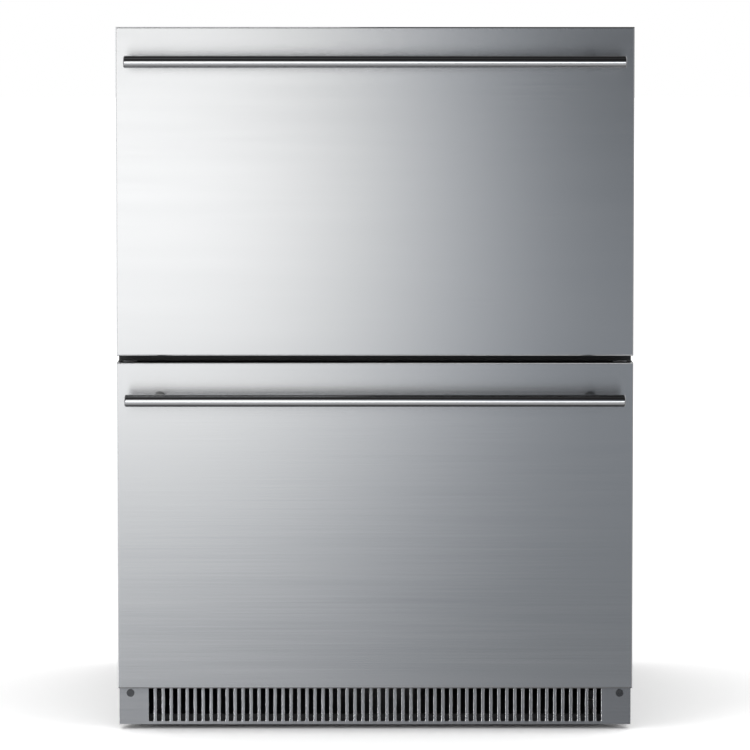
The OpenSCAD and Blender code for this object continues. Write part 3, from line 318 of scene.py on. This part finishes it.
coat("lens_plastic", (0.90, 0.91, 0.90), 0.30, 700, 0.00003, Transmission_Weight=0.25)
coat("coil_aluminium", (0.70, 0.71, 0.72), 0.34, 300, 0.00002, Metallic=1.0)
coat("copper_pipe", (0.72, 0.42, 0.29), 0.27, 260, 0.00002, patch=0.14, Metallic=1.0)
print("finishes:", len(finishes))

# %% [markdown]
# ## Dressing the solids
# Each solid names the finish that it was given when it was packed, so the dressing is a loop: the packed
# material gives way to the worked-out one of the same name, and no solid keeps a plain colour. Three solids
# were packed as the same steel as their neighbours but look different in the photograph. They are named in
# a small table, and the loop looks there first.

# %% Give every solid its finish
OWN_FINISH = {
    # the grille's finish is the fronts' steel darkened, which paints the shade of its recess
    "toe_grille": "grille_steel",
    "upper_handle_posts": "post_steel",
    "lower_handle_posts": "post_steel",
}
for name, solid in solids.items():
    for slot in solid.material_slots:
        slot.material = finishes[OWN_FINISH.get(name, slot.material.name.split(".")[0])]
print("dressed:", len(solids))

# %% [markdown]
# ## Pieces that are made here
# A few pieces are softer or finer than the solids that stand for them. They could be modelled by hand, but
# a mesh that is worked out from points and faces keeps its sizes readable and follows the solid's box. Two
# helpers serve them all: one makes an object from points and faces, and one turns all faces outwards.

# %% Meshes from points and faces
MM = 0.001


def mesh_object(name, points, faces):
    mesh = bpy.data.meshes.new(name)
    mesh.from_pydata([tuple(p) for p in points], [], faces)
    mesh.update()
    thing = bpy.data.objects.new(name, mesh)
    scene.collection.objects.link(thing)
    return thing


def outward_normals(thing):
    shape = bmesh.new()
    shape.from_mesh(thing.data)
    bmesh.ops.recalc_face_normals(shape, faces=shape.faces)
    shape.to_mesh(thing.data)
    shape.free()


print("lengths below are in millimetres times", MM)

# %% [markdown]
# ## Door seals
# A refrigerator's seal is one long extruded strip of soft vinyl: a dart that is pushed into a groove, a
# flat base, a folded bellows and a pocket for the magnet. The strip is cut and welded at 45 degrees in the
# corners. Sweeping the strip's outline round a rectangle is the same construction: four stations, one
# on each corner's diagonal, and the faces between them.

# %% Sweep round a rectangle
def swept_ring(name, outline, low, high, base_y):
    """Closed strip round a box; the outline gives inset from the box's edge and height over base_y."""
    stations = [(low.x, low.z, 1, 1), (high.x, low.z, -1, 1),
                (high.x, high.z, -1, -1), (low.x, high.z, 1, -1)]
    points = [(x + sx * inset, base_y + rise, z + sz * inset)
              for x, z, sx, sz in stations for inset, rise in outline]
    count = len(outline)
    faces = [(s * count + k, s * count + (k + 1) % count,
              (s + 1) % 4 * count + (k + 1) % count, (s + 1) % 4 * count + k)
             for s in range(4) for k in range(count)]
    return mesh_object(name, points, faces)


def soften(thing, radius, steps=2, angle=30):
    """Rounds the sharp edges of a piece and shades it smooth."""
    edge = thing.modifiers.new("soft_edges", "BEVEL")
    edge.width = radius
    edge.segments = steps
    edge.limit_method = "ANGLE"
    edge.angle_limit = math.radians(angle)
    thing.data.shade_smooth()


print("a strip has four stations, one for each corner")


# %% Two seals
SEAL_WIDTH = 13.0
SEAL_HEIGHT = 4.7
SEAL_ROUND = 0.15 * MM
SEAL_DART = [(5.0, -0.9), (5.0, 0)]
SEAL_BASE = [(0, 0), (0, 1.2), (1.2, 1.6), (2.7, 1.6)]
SEAL_BELLOWS = [(2.2, 2.3), (3.3, 2.9), (2.4, 3.5)]
SEAL_POCKET = [(2.5, 4.3), (3.1, SEAL_HEIGHT)]


def seal(drawer):
    node = drawer + "_seal"
    low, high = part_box(node)
    half = SEAL_DART + SEAL_BASE + SEAL_BELLOWS + SEAL_POCKET
    outline = half + [(SEAL_WIDTH - inset, rise) for inset, rise in half[::-1]]
    outline = [(inset * MM, rise * MM) for inset, rise in outline]
    thing = swept_ring(node + "_strip", outline, low, high, high.y - SEAL_HEIGHT * MM)
    outward_normals(thing)
    thing.data.materials.append(finishes["seal_rubber"])
    soften(thing, SEAL_ROUND)
    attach(thing, drawer + "_drawer")
    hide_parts(node)
    return thing


for drawer in ("upper", "lower"):
    print("seal:", len(seal(drawer).data.vertices), "points")

# %% [markdown]
# ## Rolled slots of the toe grille
# The toe grille's slots are punched, and the punch pulls the sheet in with it: each slot has a rolled edge
# that catches the light from the side, so the bars between the slots look brighter than the flat ends. A
# shader could fake that round with its normals alone, but then it would be missing from the mesh. So a
# bevel is cut into a copy of the solid's mesh. The copy is cleaned first, because a bevel needs whole
# faces: the solid comes as triangles, and those that lie in one plane are dissolved again.

# %% Rolled edges
ROLL_RADIUS = 0.6 * MM
ROLL_STEPS = 4
HAIR = 0.1 * MM
WELD = 0.001 * MM
ONE_PLANE = math.radians(0.5)
FACING_FRONT = -0.99


def slot_rims(shape, low, high):
    """Edges round the holes of the front sheet, on its front plane."""
    def in_front(face):
        return face.normal.y < FACING_FRONT and face.calc_center_median().y < low.y + HAIR

    def inside(point):
        return low.x + HAIR < point.x < high.x - HAIR and low.z + HAIR < point.z < high.z - HAIR

    return [edge for edge in shape.edges
            if [in_front(face) for face in edge.link_faces].count(True) == 1
            and all(inside(corner.co) for corner in edge.verts)]


def rolled_grille():
    """Toe grille with rolled slots, which keeps the solid's place and finish and gets normals of its own."""
    thing = bpy.data.objects.new("rolled_toe_grille", solids["toe_grille"].data.copy())
    packed_normals = thing.data.attributes.get("custom_normal")
    if packed_normals:
        thing.data.attributes.remove(packed_normals)
    scene.collection.objects.link(thing)
    shape = bmesh.new()
    shape.from_mesh(thing.data)
    bmesh.ops.remove_doubles(shape, verts=shape.verts, dist=WELD)
    bmesh.ops.dissolve_limit(shape, angle_limit=ONE_PLANE, verts=shape.verts, edges=shape.edges)
    rims = slot_rims(shape, *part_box("toe_grille"))
    rolled = bmesh.ops.bevel(shape, geom=rims, offset=ROLL_RADIUS, segments=ROLL_STEPS, profile=0.5,
                             affect="EDGES", clamp_overlap=False)
    for face in shape.faces:
        face.smooth = False
    for face in rolled["faces"]:
        face.smooth = True
    shape.to_mesh(thing.data)
    shape.free()
    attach(thing, "cabinet")
    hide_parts("toe_grille")
    return thing


rolled_toe_grille = rolled_grille()
print("rolled grille:", len(rolled_toe_grille.data.polygons), "faces")

# %% [markdown]
# ## Bins
# Each drawer holds a moulded bin. A moulding has no sharp edge: its walls lean out by a degree or two so
# that it leaves its mould, the floor meets them in a round, the rim turns outwards and down, and low ribs
# stiffen the floor. It is lofted: rounded rectangles are stacked from the underside up the outside, over
# the rim and down the inside to the floor, and a flat lid closes the stack at both ends.

# %% Loft of rounded rectangles
CORNER_STEPS = 8


def rounded_loop(centre, half_w, half_d, radius, z):
    """Points of a level rectangle with round corners."""
    points = []
    for quarter, (sx, sy) in enumerate(((1, 1), (-1, 1), (-1, -1), (1, -1))):
        for step in range(CORNER_STEPS + 1):
            turn = math.radians(90 * (quarter + step / CORNER_STEPS))
            points.append((centre[0] + sx * (half_w - radius) + radius * math.cos(turn),
                           centre[1] + sy * (half_d - radius) + radius * math.sin(turn), z))
    return points


def lofted(name, loops):
    """Closed skin over loops of equally many points, with a lid on the first and the last."""
    count = len(loops[0])
    points = [p for loop in loops for p in loop]
    faces = [(a * count + k, a * count + (k + 1) % count,
              (a + 1) * count + (k + 1) % count, (a + 1) * count + k)
             for a in range(len(loops) - 1) for k in range(count)]
    faces.append(tuple(range(count))[::-1])
    faces.append(tuple((len(loops) - 1) * count + k for k in range(count)))
    return mesh_object(name, points, faces)


print("points of a loop:", 4 * (CORNER_STEPS + 1))


# %% One bin
BIN_WALL = 3.0 * MM
BIN_RIM = 4.0 * MM
BIN_LEAN = 3.0 * MM
BIN_ROUND = 10.0 * MM
BIN_CORNER = 24.0 * MM
BIN_LEAST_CORNER = 4.0 * MM
BIN_FLOOR_FILL = 0.8
LIP_LENGTH = 7.0 * MM
LIP_WALL = 1.4 * MM
LIP_ROOT = 1.6 * MM
RIM_WALL = 2.0 * MM
RIM_ROUND = 1.2 * MM
MOUTH_ROUND = 1.5 * MM
ROUND_STEPS = 5


def bin_profile(bottom, top):
    """Pairs of inset from the rim's edge and height, from the underside over the rim to the floor."""
    def wall(z):
        return BIN_RIM + BIN_LEAN * (top - z) / (top - bottom)

    outside = [(wall(bottom) + BIN_ROUND * (1 - math.sin(t)), bottom + BIN_ROUND * (1 - math.cos(t)))
               for t in (math.radians(90 * k / ROUND_STEPS) for k in range(ROUND_STEPS + 1))]
    mouth = BIN_RIM + BIN_WALL
    under_rim = [(wall(top - LIP_LENGTH), top - LIP_LENGTH), (BIN_RIM - LIP_ROOT, top - RIM_WALL),
                 (LIP_ROOT, top - RIM_WALL)]
    lip = [(LIP_WALL, top - LIP_LENGTH), (0.0, top - LIP_LENGTH)]
    over_rim = [(0.0, top - RIM_ROUND), (RIM_ROUND, top), (mouth - MOUTH_ROUND, top),
                (mouth, top - MOUTH_ROUND)]
    inside = [(inset + BIN_WALL, z + BIN_WALL * BIN_FLOOR_FILL) for inset, z in outside[::-1]]
    inside[-1] = (inside[-1][0], bottom + BIN_WALL)
    return outside + under_rim + lip + over_rim + inside


print("loops of a bin:", len(bin_profile(*(corner.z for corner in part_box("upper_bin")))))


# %% Ribs of the floor
RIB_ROWS = 5
RIB_SINK = 0.4 * MM
RIB_CORNER_GAP = 0.1 * MM
RIB_STAGES = [(1.9, 0.0, 0.0), (1.6, 0.6, 1.35), (0.9, 1.4, 1.9)]


def floor_ribs(name, low, high, centre):
    """Low ribs along the floor, one loft each; a stage is half width, inset of the ends and rise, in mm."""
    pitch = (high.x - low.x) / 2 / (RIB_ROWS + 1.5)
    half_l = (high.y - low.y) / 2 - BIN_RIM - 2 * BIN_CORNER
    bottom = low.z + BIN_WALL - RIB_SINK
    ribs = []
    for row in range(-RIB_ROWS, RIB_ROWS + 1):
        middle = (centre[0] + row * pitch, centre[1])
        loops = [rounded_loop(middle, half_w * MM, half_l - inset * MM, half_w * MM - RIB_CORNER_GAP,
                              bottom + rise * MM)
                 for half_w, inset, rise in RIB_STAGES]
        ribs.append(lofted(name, loops))
    return ribs


print("ribs on each floor:", 2 * RIB_ROWS + 1)


# %% Two bins
def joined(things):
    """The first piece, holding the meshes of all."""
    shape = bmesh.new()
    for thing in things:
        shape.from_mesh(thing.data)
    bmesh.ops.recalc_face_normals(shape, faces=shape.faces)
    for thing in things[1:]:
        bpy.data.objects.remove(thing)
    shape.to_mesh(things[0].data)
    shape.free()
    return things[0]


def drawer_bin(drawer):
    node = drawer + "_bin"
    low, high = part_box(node)
    centre = ((low.x + high.x) / 2, (low.y + high.y) / 2)
    half_w, half_d = (high.x - low.x) / 2, (high.y - low.y) / 2
    loops = []
    for inset, z in bin_profile(low.z, high.z):
        corner = max(BIN_CORNER - inset, BIN_LEAST_CORNER)
        loops.append(rounded_loop(centre, half_w - inset, half_d - inset, corner, z))
    name = node + "_moulding"
    thing = joined([lofted(name, loops)] + floor_ribs(name, low, high, centre))
    thing.data.materials.append(finishes["bin_plastic"])
    thing.data.shade_smooth()
    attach(thing, drawer + "_drawer")
    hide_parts(node)
    return thing


for drawer in ("upper", "lower"):
    print("bin:", len(drawer_bin(drawer).data.polygons), "faces")

# %% [markdown]
# ## Display and button signs
# The control panel has a shallow recess for its display. The window is a thin slab of dark glass with
# rounded corners, off while the refrigerator stands here. The buttons carry the three plain signs that
# such buttons have: a ring with a stroke, a minus and a plus, raised by a fraction of a millimetre.

# %% Window of the display
def display_glass():
    finish = Finish("display_glass", {"Coat Weight": 1.0, "Coat Roughness": 0.03})
    haze = finish.noise((60, 60, 60))
    finish.set({"Base Color": finish.blend(haze, (0.004, 0.005, 0.007), (0.010, 0.011, 0.014)),
                "Roughness": haze * 0.04 + 0.05})
    return finish.material


PANEL_LOW, PANEL_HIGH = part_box("control_panel")
DISPLAY_INSET = 14 * MM
DISPLAY_SIZE = (52 * MM, 14 * MM)
DISPLAY_GAP = 0.2 * MM
DISPLAY_CORNER = 1.2 * MM
DISPLAY_SETBACK = 0.1 * MM
DISPLAY_T = 0.9 * MM


def slab(name, x, z, size, radius, y, thickness):
    """Upright plate with rounded corners, whose front lies at y."""
    flat = rounded_loop((x, z), size[0] / 2, size[1] / 2, radius, 0)
    rear = [(px, y + thickness, pz) for px, pz, _ in flat]
    edge = 0.25 * thickness
    shrunk = rounded_loop((x, z), size[0] / 2 - edge, size[1] / 2 - edge, radius - edge, 0)
    front = [(px, y + edge, pz) for px, pz, _ in flat]
    face = [(px, y, pz) for px, pz, _ in shrunk]
    thing = lofted(name, [rear, front, face])
    outward_normals(thing)
    return thing


def display():
    z = (PANEL_LOW.z + PANEL_HIGH.z) / 2
    x = PANEL_LOW.x + DISPLAY_INSET + DISPLAY_SIZE[0] / 2
    size = [side - 2 * DISPLAY_GAP for side in DISPLAY_SIZE]
    thing = slab("display_window", x, z, size, DISPLAY_CORNER, PANEL_LOW.y + DISPLAY_SETBACK, DISPLAY_T)
    thing.data.materials.append(display_glass())
    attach(thing, "cabinet")


display()
print("display of", [round(side / MM) for side in DISPLAY_SIZE], "mm")

# %% Signs of the buttons
SIGN_HALF = 2.2 * MM
SIGN_STROKE = 0.7 * MM
SIGN_RISE = 0.15 * MM
POWER_STROKE = 1.2 * SIGN_HALF
RING_GAP = 35
RING_PIECES = 14


def stroke(x, z, size):
    """Outline of a straight stroke with its middle at x and z."""
    return [(x - size[0] / 2, z - size[1] / 2), (x + size[0] / 2, z - size[1] / 2),
            (x + size[0] / 2, z + size[1] / 2), (x - size[0] / 2, z + size[1] / 2)]


def raised(name, outlines, y):
    """Thin flat shapes that stand out of the plane at y; each outline is a loop of X and Z."""
    points, faces = [], []
    for outline in outlines:
        start, count = len(points), len(outline)
        points += [(x, y, z) for x, z in outline] + [(x, y - SIGN_RISE, z) for x, z in outline]
        faces += [(start + k, start + (k + 1) % count, start + count + (k + 1) % count, start + count + k)
                  for k in range(count)]
        faces.append(tuple(start + count + k for k in range(count)))
        faces.append(tuple(start + k for k in reversed(range(count))))
    thing = mesh_object(name, points, faces)
    outward_normals(thing)
    return thing


def open_ring(x, z):
    """Short quadrilaterals round a ring that is open at the top."""
    turns = [math.radians(90 + RING_GAP + (360 - 2 * RING_GAP) * k / RING_PIECES)
             for k in range(RING_PIECES + 1)]
    inner = SIGN_HALF - SIGN_STROKE
    corners = [((inner, a), (SIGN_HALF, a), (SIGN_HALF, b), (inner, b)) for a, b in zip(turns, turns[1:])]
    return [[(x + r * math.cos(t), z + r * math.sin(t)) for r, t in corner] for corner in corners]


def half_upright(x, z, side):
    """The upright stroke of a plus sign, above or below its level stroke."""
    length = SIGN_HALF - SIGN_STROKE / 2
    return stroke(x, z + side * (SIGN_HALF + SIGN_STROKE / 2) / 2, (SIGN_STROKE, length))


def sign_outlines(name, x, z):
    across = stroke(x, z, (2 * SIGN_HALF, SIGN_STROKE))
    if name == "power":
        return open_ring(x, z) + [stroke(x, z + POWER_STROKE / 2, (SIGN_STROKE, POWER_STROKE))]
    if name == "colder":
        return [across]
    return [across, half_upright(x, z, 1), half_upright(x, z, -1)]


coat("sign_paint", (0.80, 0.81, 0.82), 0.40, 900, 0.00001)
for name in ("power", "colder", "warmer"):
    low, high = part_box(name + "_button")
    x, z = (low.x + high.x) / 2, (low.z + high.z) / 2
    sign = raised(name + "_sign", sign_outlines(name, x, z), low.y)
    sign.data.materials.append(finishes["sign_paint"])
    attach(sign, name + "_button")
print("signs on three buttons")

# %% [markdown]
# ## The studio
# A white floor with a soft shadow, a white surround, and cards that only the metal sees. Steel has no
# colour of its own: what one calls its shading is the reflection of the room. The photographed fronts go
# from nearly white at the left to a middle grey at the right, and darken downwards, and that is the
# picture of a large soft card that fades out. So the card is modelled, as a lit sheet before the fronts,
# and a dome round it stands for the rest of the room, light low down and dark above.

# %% Surround
world = bpy.data.worlds.new("studio")
world.use_nodes = True
scene.world = world
WORLD_DIFFUSE = 0.85


def build_world():
    """White for the camera and for metal, and a little dimmer where it lights the rest."""
    nodes, links = world.node_tree.nodes, world.node_tree.links
    ray = nodes.new("ShaderNodeLightPath")
    seen = nodes["Background"]
    seen.inputs["Color"].default_value = (1, 1, 1, 1)
    glow = nodes.new("ShaderNodeBackground")
    glow.inputs["Color"].default_value = (1, 1, 1, 1)
    glow.inputs["Strength"].default_value = WORLD_DIFFUSE
    either = None
    for name in ("Is Camera Ray", "Is Glossy Ray", "Is Transmission Ray"):
        if either is None:
            either = ray.outputs[name]
            continue
        larger = nodes.new("ShaderNodeMath")
        larger.operation = "MAXIMUM"
        links.new(either, larger.inputs[0])
        links.new(ray.outputs[name], larger.inputs[1])
        either = larger.outputs[0]
    mix = nodes.new("ShaderNodeMixShader")
    links.new(either, mix.inputs[0])
    links.new(glow.outputs[0], mix.inputs[1])
    links.new(seen.outputs[0], mix.inputs[2])
    links.new(mix.outputs[0], nodes["World Output"].inputs["Surface"])


build_world()
print("surround lights at", WORLD_DIFFUSE)

# %% Cards that light the metal
def glowing(name):
    """Material of a card: a bare emitter whose strength is worked out by nodes."""
    card = Finish(name, {})
    card.tree.nodes.remove(card.shader)
    card.emitter = card.tree.nodes.new("ShaderNodeEmission")
    card.out = card.tree.nodes["Material Output"]
    card.tree.links.new(card.emitter.outputs[0], card.out.inputs["Surface"])
    return card


def seen_by_metal_only(thing):
    thing.visible_camera = False
    thing.visible_diffuse = False
    thing.visible_shadow = False
    thing.visible_transmission = False
    thing.visible_volume_scatter = False


print("cards are hidden from the camera, and only metal reflects them")


# %% Dome
DOME_RADIUS = 9.0
DOME_RINGS = 24
DOME_SIDES = 48
FRONT_TO_REAR = 0.3


def dome_mesh():
    points = []
    for ring in range(DOME_RINGS + 1):
        tilt = math.pi * ring / DOME_RINGS - math.pi / 2
        for side in range(DOME_SIDES):
            turn = 2 * math.pi * side / DOME_SIDES
            points.append(Vector((math.cos(turn) * math.cos(tilt), math.sin(turn) * math.cos(tilt),
                                  math.sin(tilt))) * DOME_RADIUS)
    faces = [(r * DOME_SIDES + s, r * DOME_SIDES + (s + 1) % DOME_SIDES,
              (r + 1) * DOME_SIDES + (s + 1) % DOME_SIDES, (r + 1) * DOME_SIDES + s)
             for r in range(DOME_RINGS) for s in range(DOME_SIDES)]
    return mesh_object("studio_dome", points, faces)


def dome_light():
    card = glowing("studio_dome_light")
    place = card.place()
    way = card.node("ShaderNodeVectorMath", {"operation": "NORMALIZE"}, {0: place})
    x, y, z = (card.node("ShaderNodeSeparateXYZ", {}, {0: way}, axis) for axis in range(3))
    turn = card.node("ShaderNodeMath", {"operation": "ARCTAN2"}, {0: x, 1: y * -1}) / (2 * math.pi) + 0.5
    rise = z * 0.5 + 0.5
    around = card.node("ShaderNodeValToRGB", {"stops": [
        (0.00, 0.75), (0.12, 0.95), (0.25, 0.90), (0.36, 0.95), (0.46, 1.00), (0.50, 0.60),
        (0.54, 0.30), (0.62, 0.70), (0.75, 0.45), (0.88, 0.90), (1.00, 0.75)]}, {0: turn})
    front_rise = card.node("ShaderNodeValToRGB", {"stops": [
        (0.00, 0.12), (0.08, 0.20), (0.20, 0.60), (0.44, 0.95), (0.50, 1.00), (0.56, 0.80), (0.61, 0.08),
        (0.90, 0.04), (0.95, 0.25), (0.98, 0.05), (1.00, 0.04)]}, {0: rise})
    rear_rise = card.node("ShaderNodeValToRGB", {"stops": [
        (0.00, 0.30), (0.44, 0.60), (0.55, 1.00), (0.75, 0.90), (0.90, 0.10), (1.00, 0.05)]}, {0: rise})
    behind = card.node("ShaderNodeMapRange", {"interpolation_type": "SMOOTHSTEP"},
                       {0: y, 1: -FRONT_TO_REAR, 2: FRONT_TO_REAR, 3: 0.0, 4: 1.0})
    strength = around * (front_rise * (1 - behind) + rear_rise * behind)
    card.feed(card.emitter.inputs["Color"], (0.99, 0.99, 1.0, 1))
    card.feed(card.emitter.inputs["Strength"], strength)
    return card.material


dome = dome_mesh()
dome.location = (0, 0, cad_box[1][2] / 2)
dome.data.materials.append(dome_light())
seen_by_metal_only(dome)
print("dome of radius", DOME_RADIUS)

# %% Card before the fronts
CARD_Y = FACE_Y - 1.7
CARD_X = (-1.1, 1.1)
CARD_Z = (-0.55, 1.25)
CARD_PEAK = 2.0
CARD_SLANT = 0.4
CARD_TURN = (-0.34, 0.38)
CARD_FADE = 0.35
COOL_GREY = (0.92, 0.99, 1.08)
WARM_WHITE = (1.0, 1.0, 0.99)
COOL_BELOW, WARM_ABOVE = 0.15, 0.65


def front_card():
    """Lit sheet before the fronts, bright at the left, which fades out to its edges."""
    corners = [(CARD_X[0], CARD_Y, CARD_Z[0]), (CARD_X[1], CARD_Y, CARD_Z[0]),
               (CARD_X[1], CARD_Y, CARD_Z[1]), (CARD_X[0], CARD_Y, CARD_Z[1])]
    thing = mesh_object("studio_card", corners, [(0, 1, 2, 3)])
    card = glowing("studio_card_light")
    x = card.along(0)
    z = card.along(2)
    height = (z - CARD_Z[0]) / (CARD_Z[1] - CARD_Z[0])
    lower = card.node("ShaderNodeMath", {"operation": "MAXIMUM"}, {0: 0.5 - height, 1: 0.0})
    across = card.node("ShaderNodeMapRange", {"interpolation_type": "SMOOTHSTEP"},
                       {0: x + lower * CARD_SLANT, 1: CARD_TURN[0], 2: CARD_TURN[1], 3: 0.0, 4: 1.0})
    bright_end = card.node("ShaderNodeValToRGB", {"stops": [
        (0.11, 0.11), (0.20, 0.20), (0.27, 0.33), (0.36, 0.54), (0.45, 0.72), (0.53, 0.94),
        (0.62, 1.00), (0.70, 0.98), (0.78, 0.90), (1.00, 0.70)]}, {0: height})
    dark_end = card.node("ShaderNodeValToRGB", {"stops": [
        (0.11, 0.09), (0.20, 0.11), (0.36, 0.17), (0.50, 0.19), (0.62, 0.16), (0.70, 0.12),
        (0.78, 0.08), (1.00, 0.06)]}, {0: height})
    level = bright_end * (1 - across) + dark_end * across
    neutral = card.node("ShaderNodeMapRange", {}, {0: level, 1: COOL_BELOW, 2: WARM_ABOVE})
    card.feed(card.emitter.inputs["Color"], card.blend(neutral, COOL_GREY, WARM_WHITE))
    card.feed(card.emitter.inputs["Strength"], level * CARD_PEAK)
    fades = [card.node("ShaderNodeMapRange", {}, {0: along, 1: edge, 2: edge + inward * CARD_FADE})
             for along, edges in ((x, CARD_X), (z, CARD_Z)) for edge, inward in zip(edges, (1, -1))]
    mask = fades[0] * fades[1] * fades[2] * fades[3]
    clear = card.tree.nodes.new("ShaderNodeBsdfTransparent")
    mix = card.tree.nodes.new("ShaderNodeMixShader")
    card.feed(mix.inputs[0], mask)
    card.tree.links.new(clear.outputs[0], mix.inputs[1])
    card.tree.links.new(card.emitter.outputs[0], mix.inputs[2])
    card.tree.links.new(mix.outputs[0], card.out.inputs["Surface"])
    thing.data.materials.append(card.material)
    return thing


card = front_card()
seen_by_metal_only(card)
print("card from", CARD_X[0], "to", CARD_X[1], "m")

# %% [markdown]
# ## Floor and large lamps
# The floor is a plain white sheet. It catches the soft shadow of the refrigerator, and it is kept out of
# the metal's reflections, because the photographed fronts darken towards the ground. Two large lamps add
# a little direction to the even light of the surround, so that bars and caps cast a soft shadow. Metal
# doesn't reflect them, since the card and the dome are its whole room.

# %% Floor
FLOOR_HALF = 60.0
FLOOR_GAIN = 1.5


def floor():
    """White sheet, drawn brighter for the camera than it lights the object."""
    half = FLOOR_HALF
    corners = [(-half, -half, 0), (half, -half, 0), (half, half, 0), (-half, half, 0)]
    thing = mesh_object("studio_floor", corners, [(0, 1, 2, 3)])
    finish = Finish("studio_floor", {"Roughness": 0.9, "Specular IOR Level": 0.0})
    mottle = finish.noise((2, 2, 2))
    finish.set({"Base Color": finish.blend(mottle, (0.93, 0.93, 0.93), (0.95, 0.95, 0.95))})
    shown = finish.tree.nodes.new("ShaderNodeBsdfDiffuse")
    shown.inputs["Color"].default_value = (FLOOR_GAIN, FLOOR_GAIN, FLOOR_GAIN, 1)
    mix = finish.tree.nodes.new("ShaderNodeMixShader")
    finish.feed(mix.inputs[0], finish.node("ShaderNodeLightPath", {}, {}, "Is Camera Ray"))
    finish.tree.links.new(finish.shader.outputs[0], mix.inputs[1])
    finish.tree.links.new(shown.outputs[0], mix.inputs[2])
    finish.tree.links.new(mix.outputs[0], finish.tree.nodes["Material Output"].inputs["Surface"])
    thing.data.materials.append(finish.material)
    thing.visible_glossy = False


floor()
print("floor of", 2 * FLOOR_HALF, "m")

# %% Large lamps
LARGE_LAMPS = {
    "key_lamp": {"place": (-2.6, -3.4, 3.2), "size": (2.0, 2.0), "power": 30},
    "fill_lamp": {"place": (2.8, -2.6, 2.2), "size": (2.4, 2.4), "power": 12},
}
LARGE_LAMP_AIM = (0, 0, 0.4)


def lamp(name, place, aim, size, power):
    """Rectangular lamp that shines from its place towards the aim."""
    data = bpy.data.lights.new(name, "AREA")
    data.shape = "RECTANGLE"
    data.size, data.size_y = size
    data.energy = power
    thing = bpy.data.objects.new(name, data)
    thing.location = place
    thing.rotation_euler = (Vector(aim) - Vector(place)).to_track_quat("-Z", "Y").to_euler()
    thing.visible_glossy = False
    thing.visible_camera = False
    scene.collection.objects.link(thing)
    return thing


for name, large in LARGE_LAMPS.items():
    lamp(name, large["place"], LARGE_LAMP_AIM, large["size"], large["power"])
print("large lamps:", len(LARGE_LAMPS))

# %% [markdown]
# ## Lamps for single pieces
# A photographer places narrow lamps so that one bar or one edge gets its bright line, and shades the rest
# from them with flags. Flags are awkward to model, and in Blender a lamp can do without: light linking
# gives it a collection of receivers, and it lights nothing else. Each bar has two strips before and below
# it, for the bright line and the softer band under it. The rolled slots have a long low lamp on each side,
# and the rounded edges of the fronts have four, so far round that the flat faces don't reflect them.

# %% Strip lamps of the bars
STRIP_LENGTH = 1.3
STRIPS = {
    "line": {"away": 0.60, "drop": 0.14, "height": 0.22, "power": 2.2},
    "band": {"away": 0.25, "drop": 0.33, "height": 0.30, "power": 0.6},
}


def light_only(lamp_object, *pieces):
    """Keeps a lamp's light to a few pieces, so that it draws a line there and changes nothing else."""
    lit = bpy.data.collections.new(lamp_object.name + "_lit")
    for piece in pieces:
        lit.objects.link(piece)
    lamp_object.light_linking.receiver_collection = lit
    lamp_object.visible_glossy = True


def strip_lamp(drawer, name, strip):
    """Long lamp before and below one bar."""
    node = drawer + "_handle_bar"
    low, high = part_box(node)
    middle = (low + high) / 2
    place = middle + Vector((0, -strip["away"], -strip["drop"]))
    thing = lamp(f"{drawer}_{name}_lamp", place, middle, (STRIP_LENGTH, strip["height"]), strip["power"])
    light_only(thing, solids[node])


for drawer in ("upper", "lower"):
    for name, strip in STRIPS.items():
        strip_lamp(drawer, name, strip)
print("strip lamps for two bars")

# %% Side lamps of the grille
GRILLE_LAMPS = {
    "left": {"place": (-1.7, -1.3, 0.20), "power": 42},
    "right": {"place": (1.7, -1.3, 0.20), "power": 15},
}
GRILLE_LAMP_SIZE = (2.6, 0.36)


def grille_lamps():
    """Two lamps at the sides, which the rolled edges of the slots catch and the flat sheet doesn't."""
    low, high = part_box("toe_grille")
    middle = (low + high) / 2
    for name, side in GRILLE_LAMPS.items():
        thing = lamp(name + "_grille_lamp", side["place"], middle, GRILLE_LAMP_SIZE, side["power"])
        light_only(thing, rolled_toe_grille)


grille_lamps()
print("side lamps for the slots:", len(GRILLE_LAMPS))

# %% Lamps of the rounded edges
UPPER, LOWER = solids["upper_front_skin"], solids["lower_front_skin"]
UPPER_LOW, UPPER_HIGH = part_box("upper_front_skin")
LOWER_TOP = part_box("lower_front_skin")[1].z
CORNER_INSET = 0.02
EDGE_LAMPS = {
    "upper_lip_lamp": {"aim": (0, FACE_Y, UPPER_LOW.z), "away": (0, -0.20, -0.346),
                       "size": (1.6, 0.25), "power": 1.5, "lit": [UPPER]},
    "lower_lip_lamp": {"aim": (0, FACE_Y, LOWER_TOP), "away": (0, -0.20, 0.346),
                       "size": (1.6, 0.25), "power": 1.5, "lit": [LOWER]},
    "top_edge_lamp": {"aim": (UPPER_LOW.x + CORNER_INSET, FACE_Y, UPPER_HIGH.z), "away": (0, -0.05, 0.50),
                      "size": (0.5, 0.4), "power": 0.8, "lit": [UPPER]},
    "left_edge_lamp": {"aim": (UPPER_LOW.x, FACE_Y, UPPER_LOW.z), "away": (-0.50, -0.10, 0),
                       "size": (0.4, 1.0), "power": 1.7, "lit": [UPPER, LOWER]},
}
for name, edge in EDGE_LAMPS.items():
    place = Vector(edge["aim"]) + Vector(edge["away"])
    light_only(lamp(name, place, edge["aim"], edge["size"], edge["power"]), *edge["lit"])
print("edge lamps:", len(EDGE_LAMPS))

# %% [markdown]
# ## Size at the end
# The dressed refrigerator has to stay as large as the solids say. The box of the solids is printed.

# %% Sizes and end
print("box of the solids", [[round(v, 4) for v in corner] for corner in cad_box])
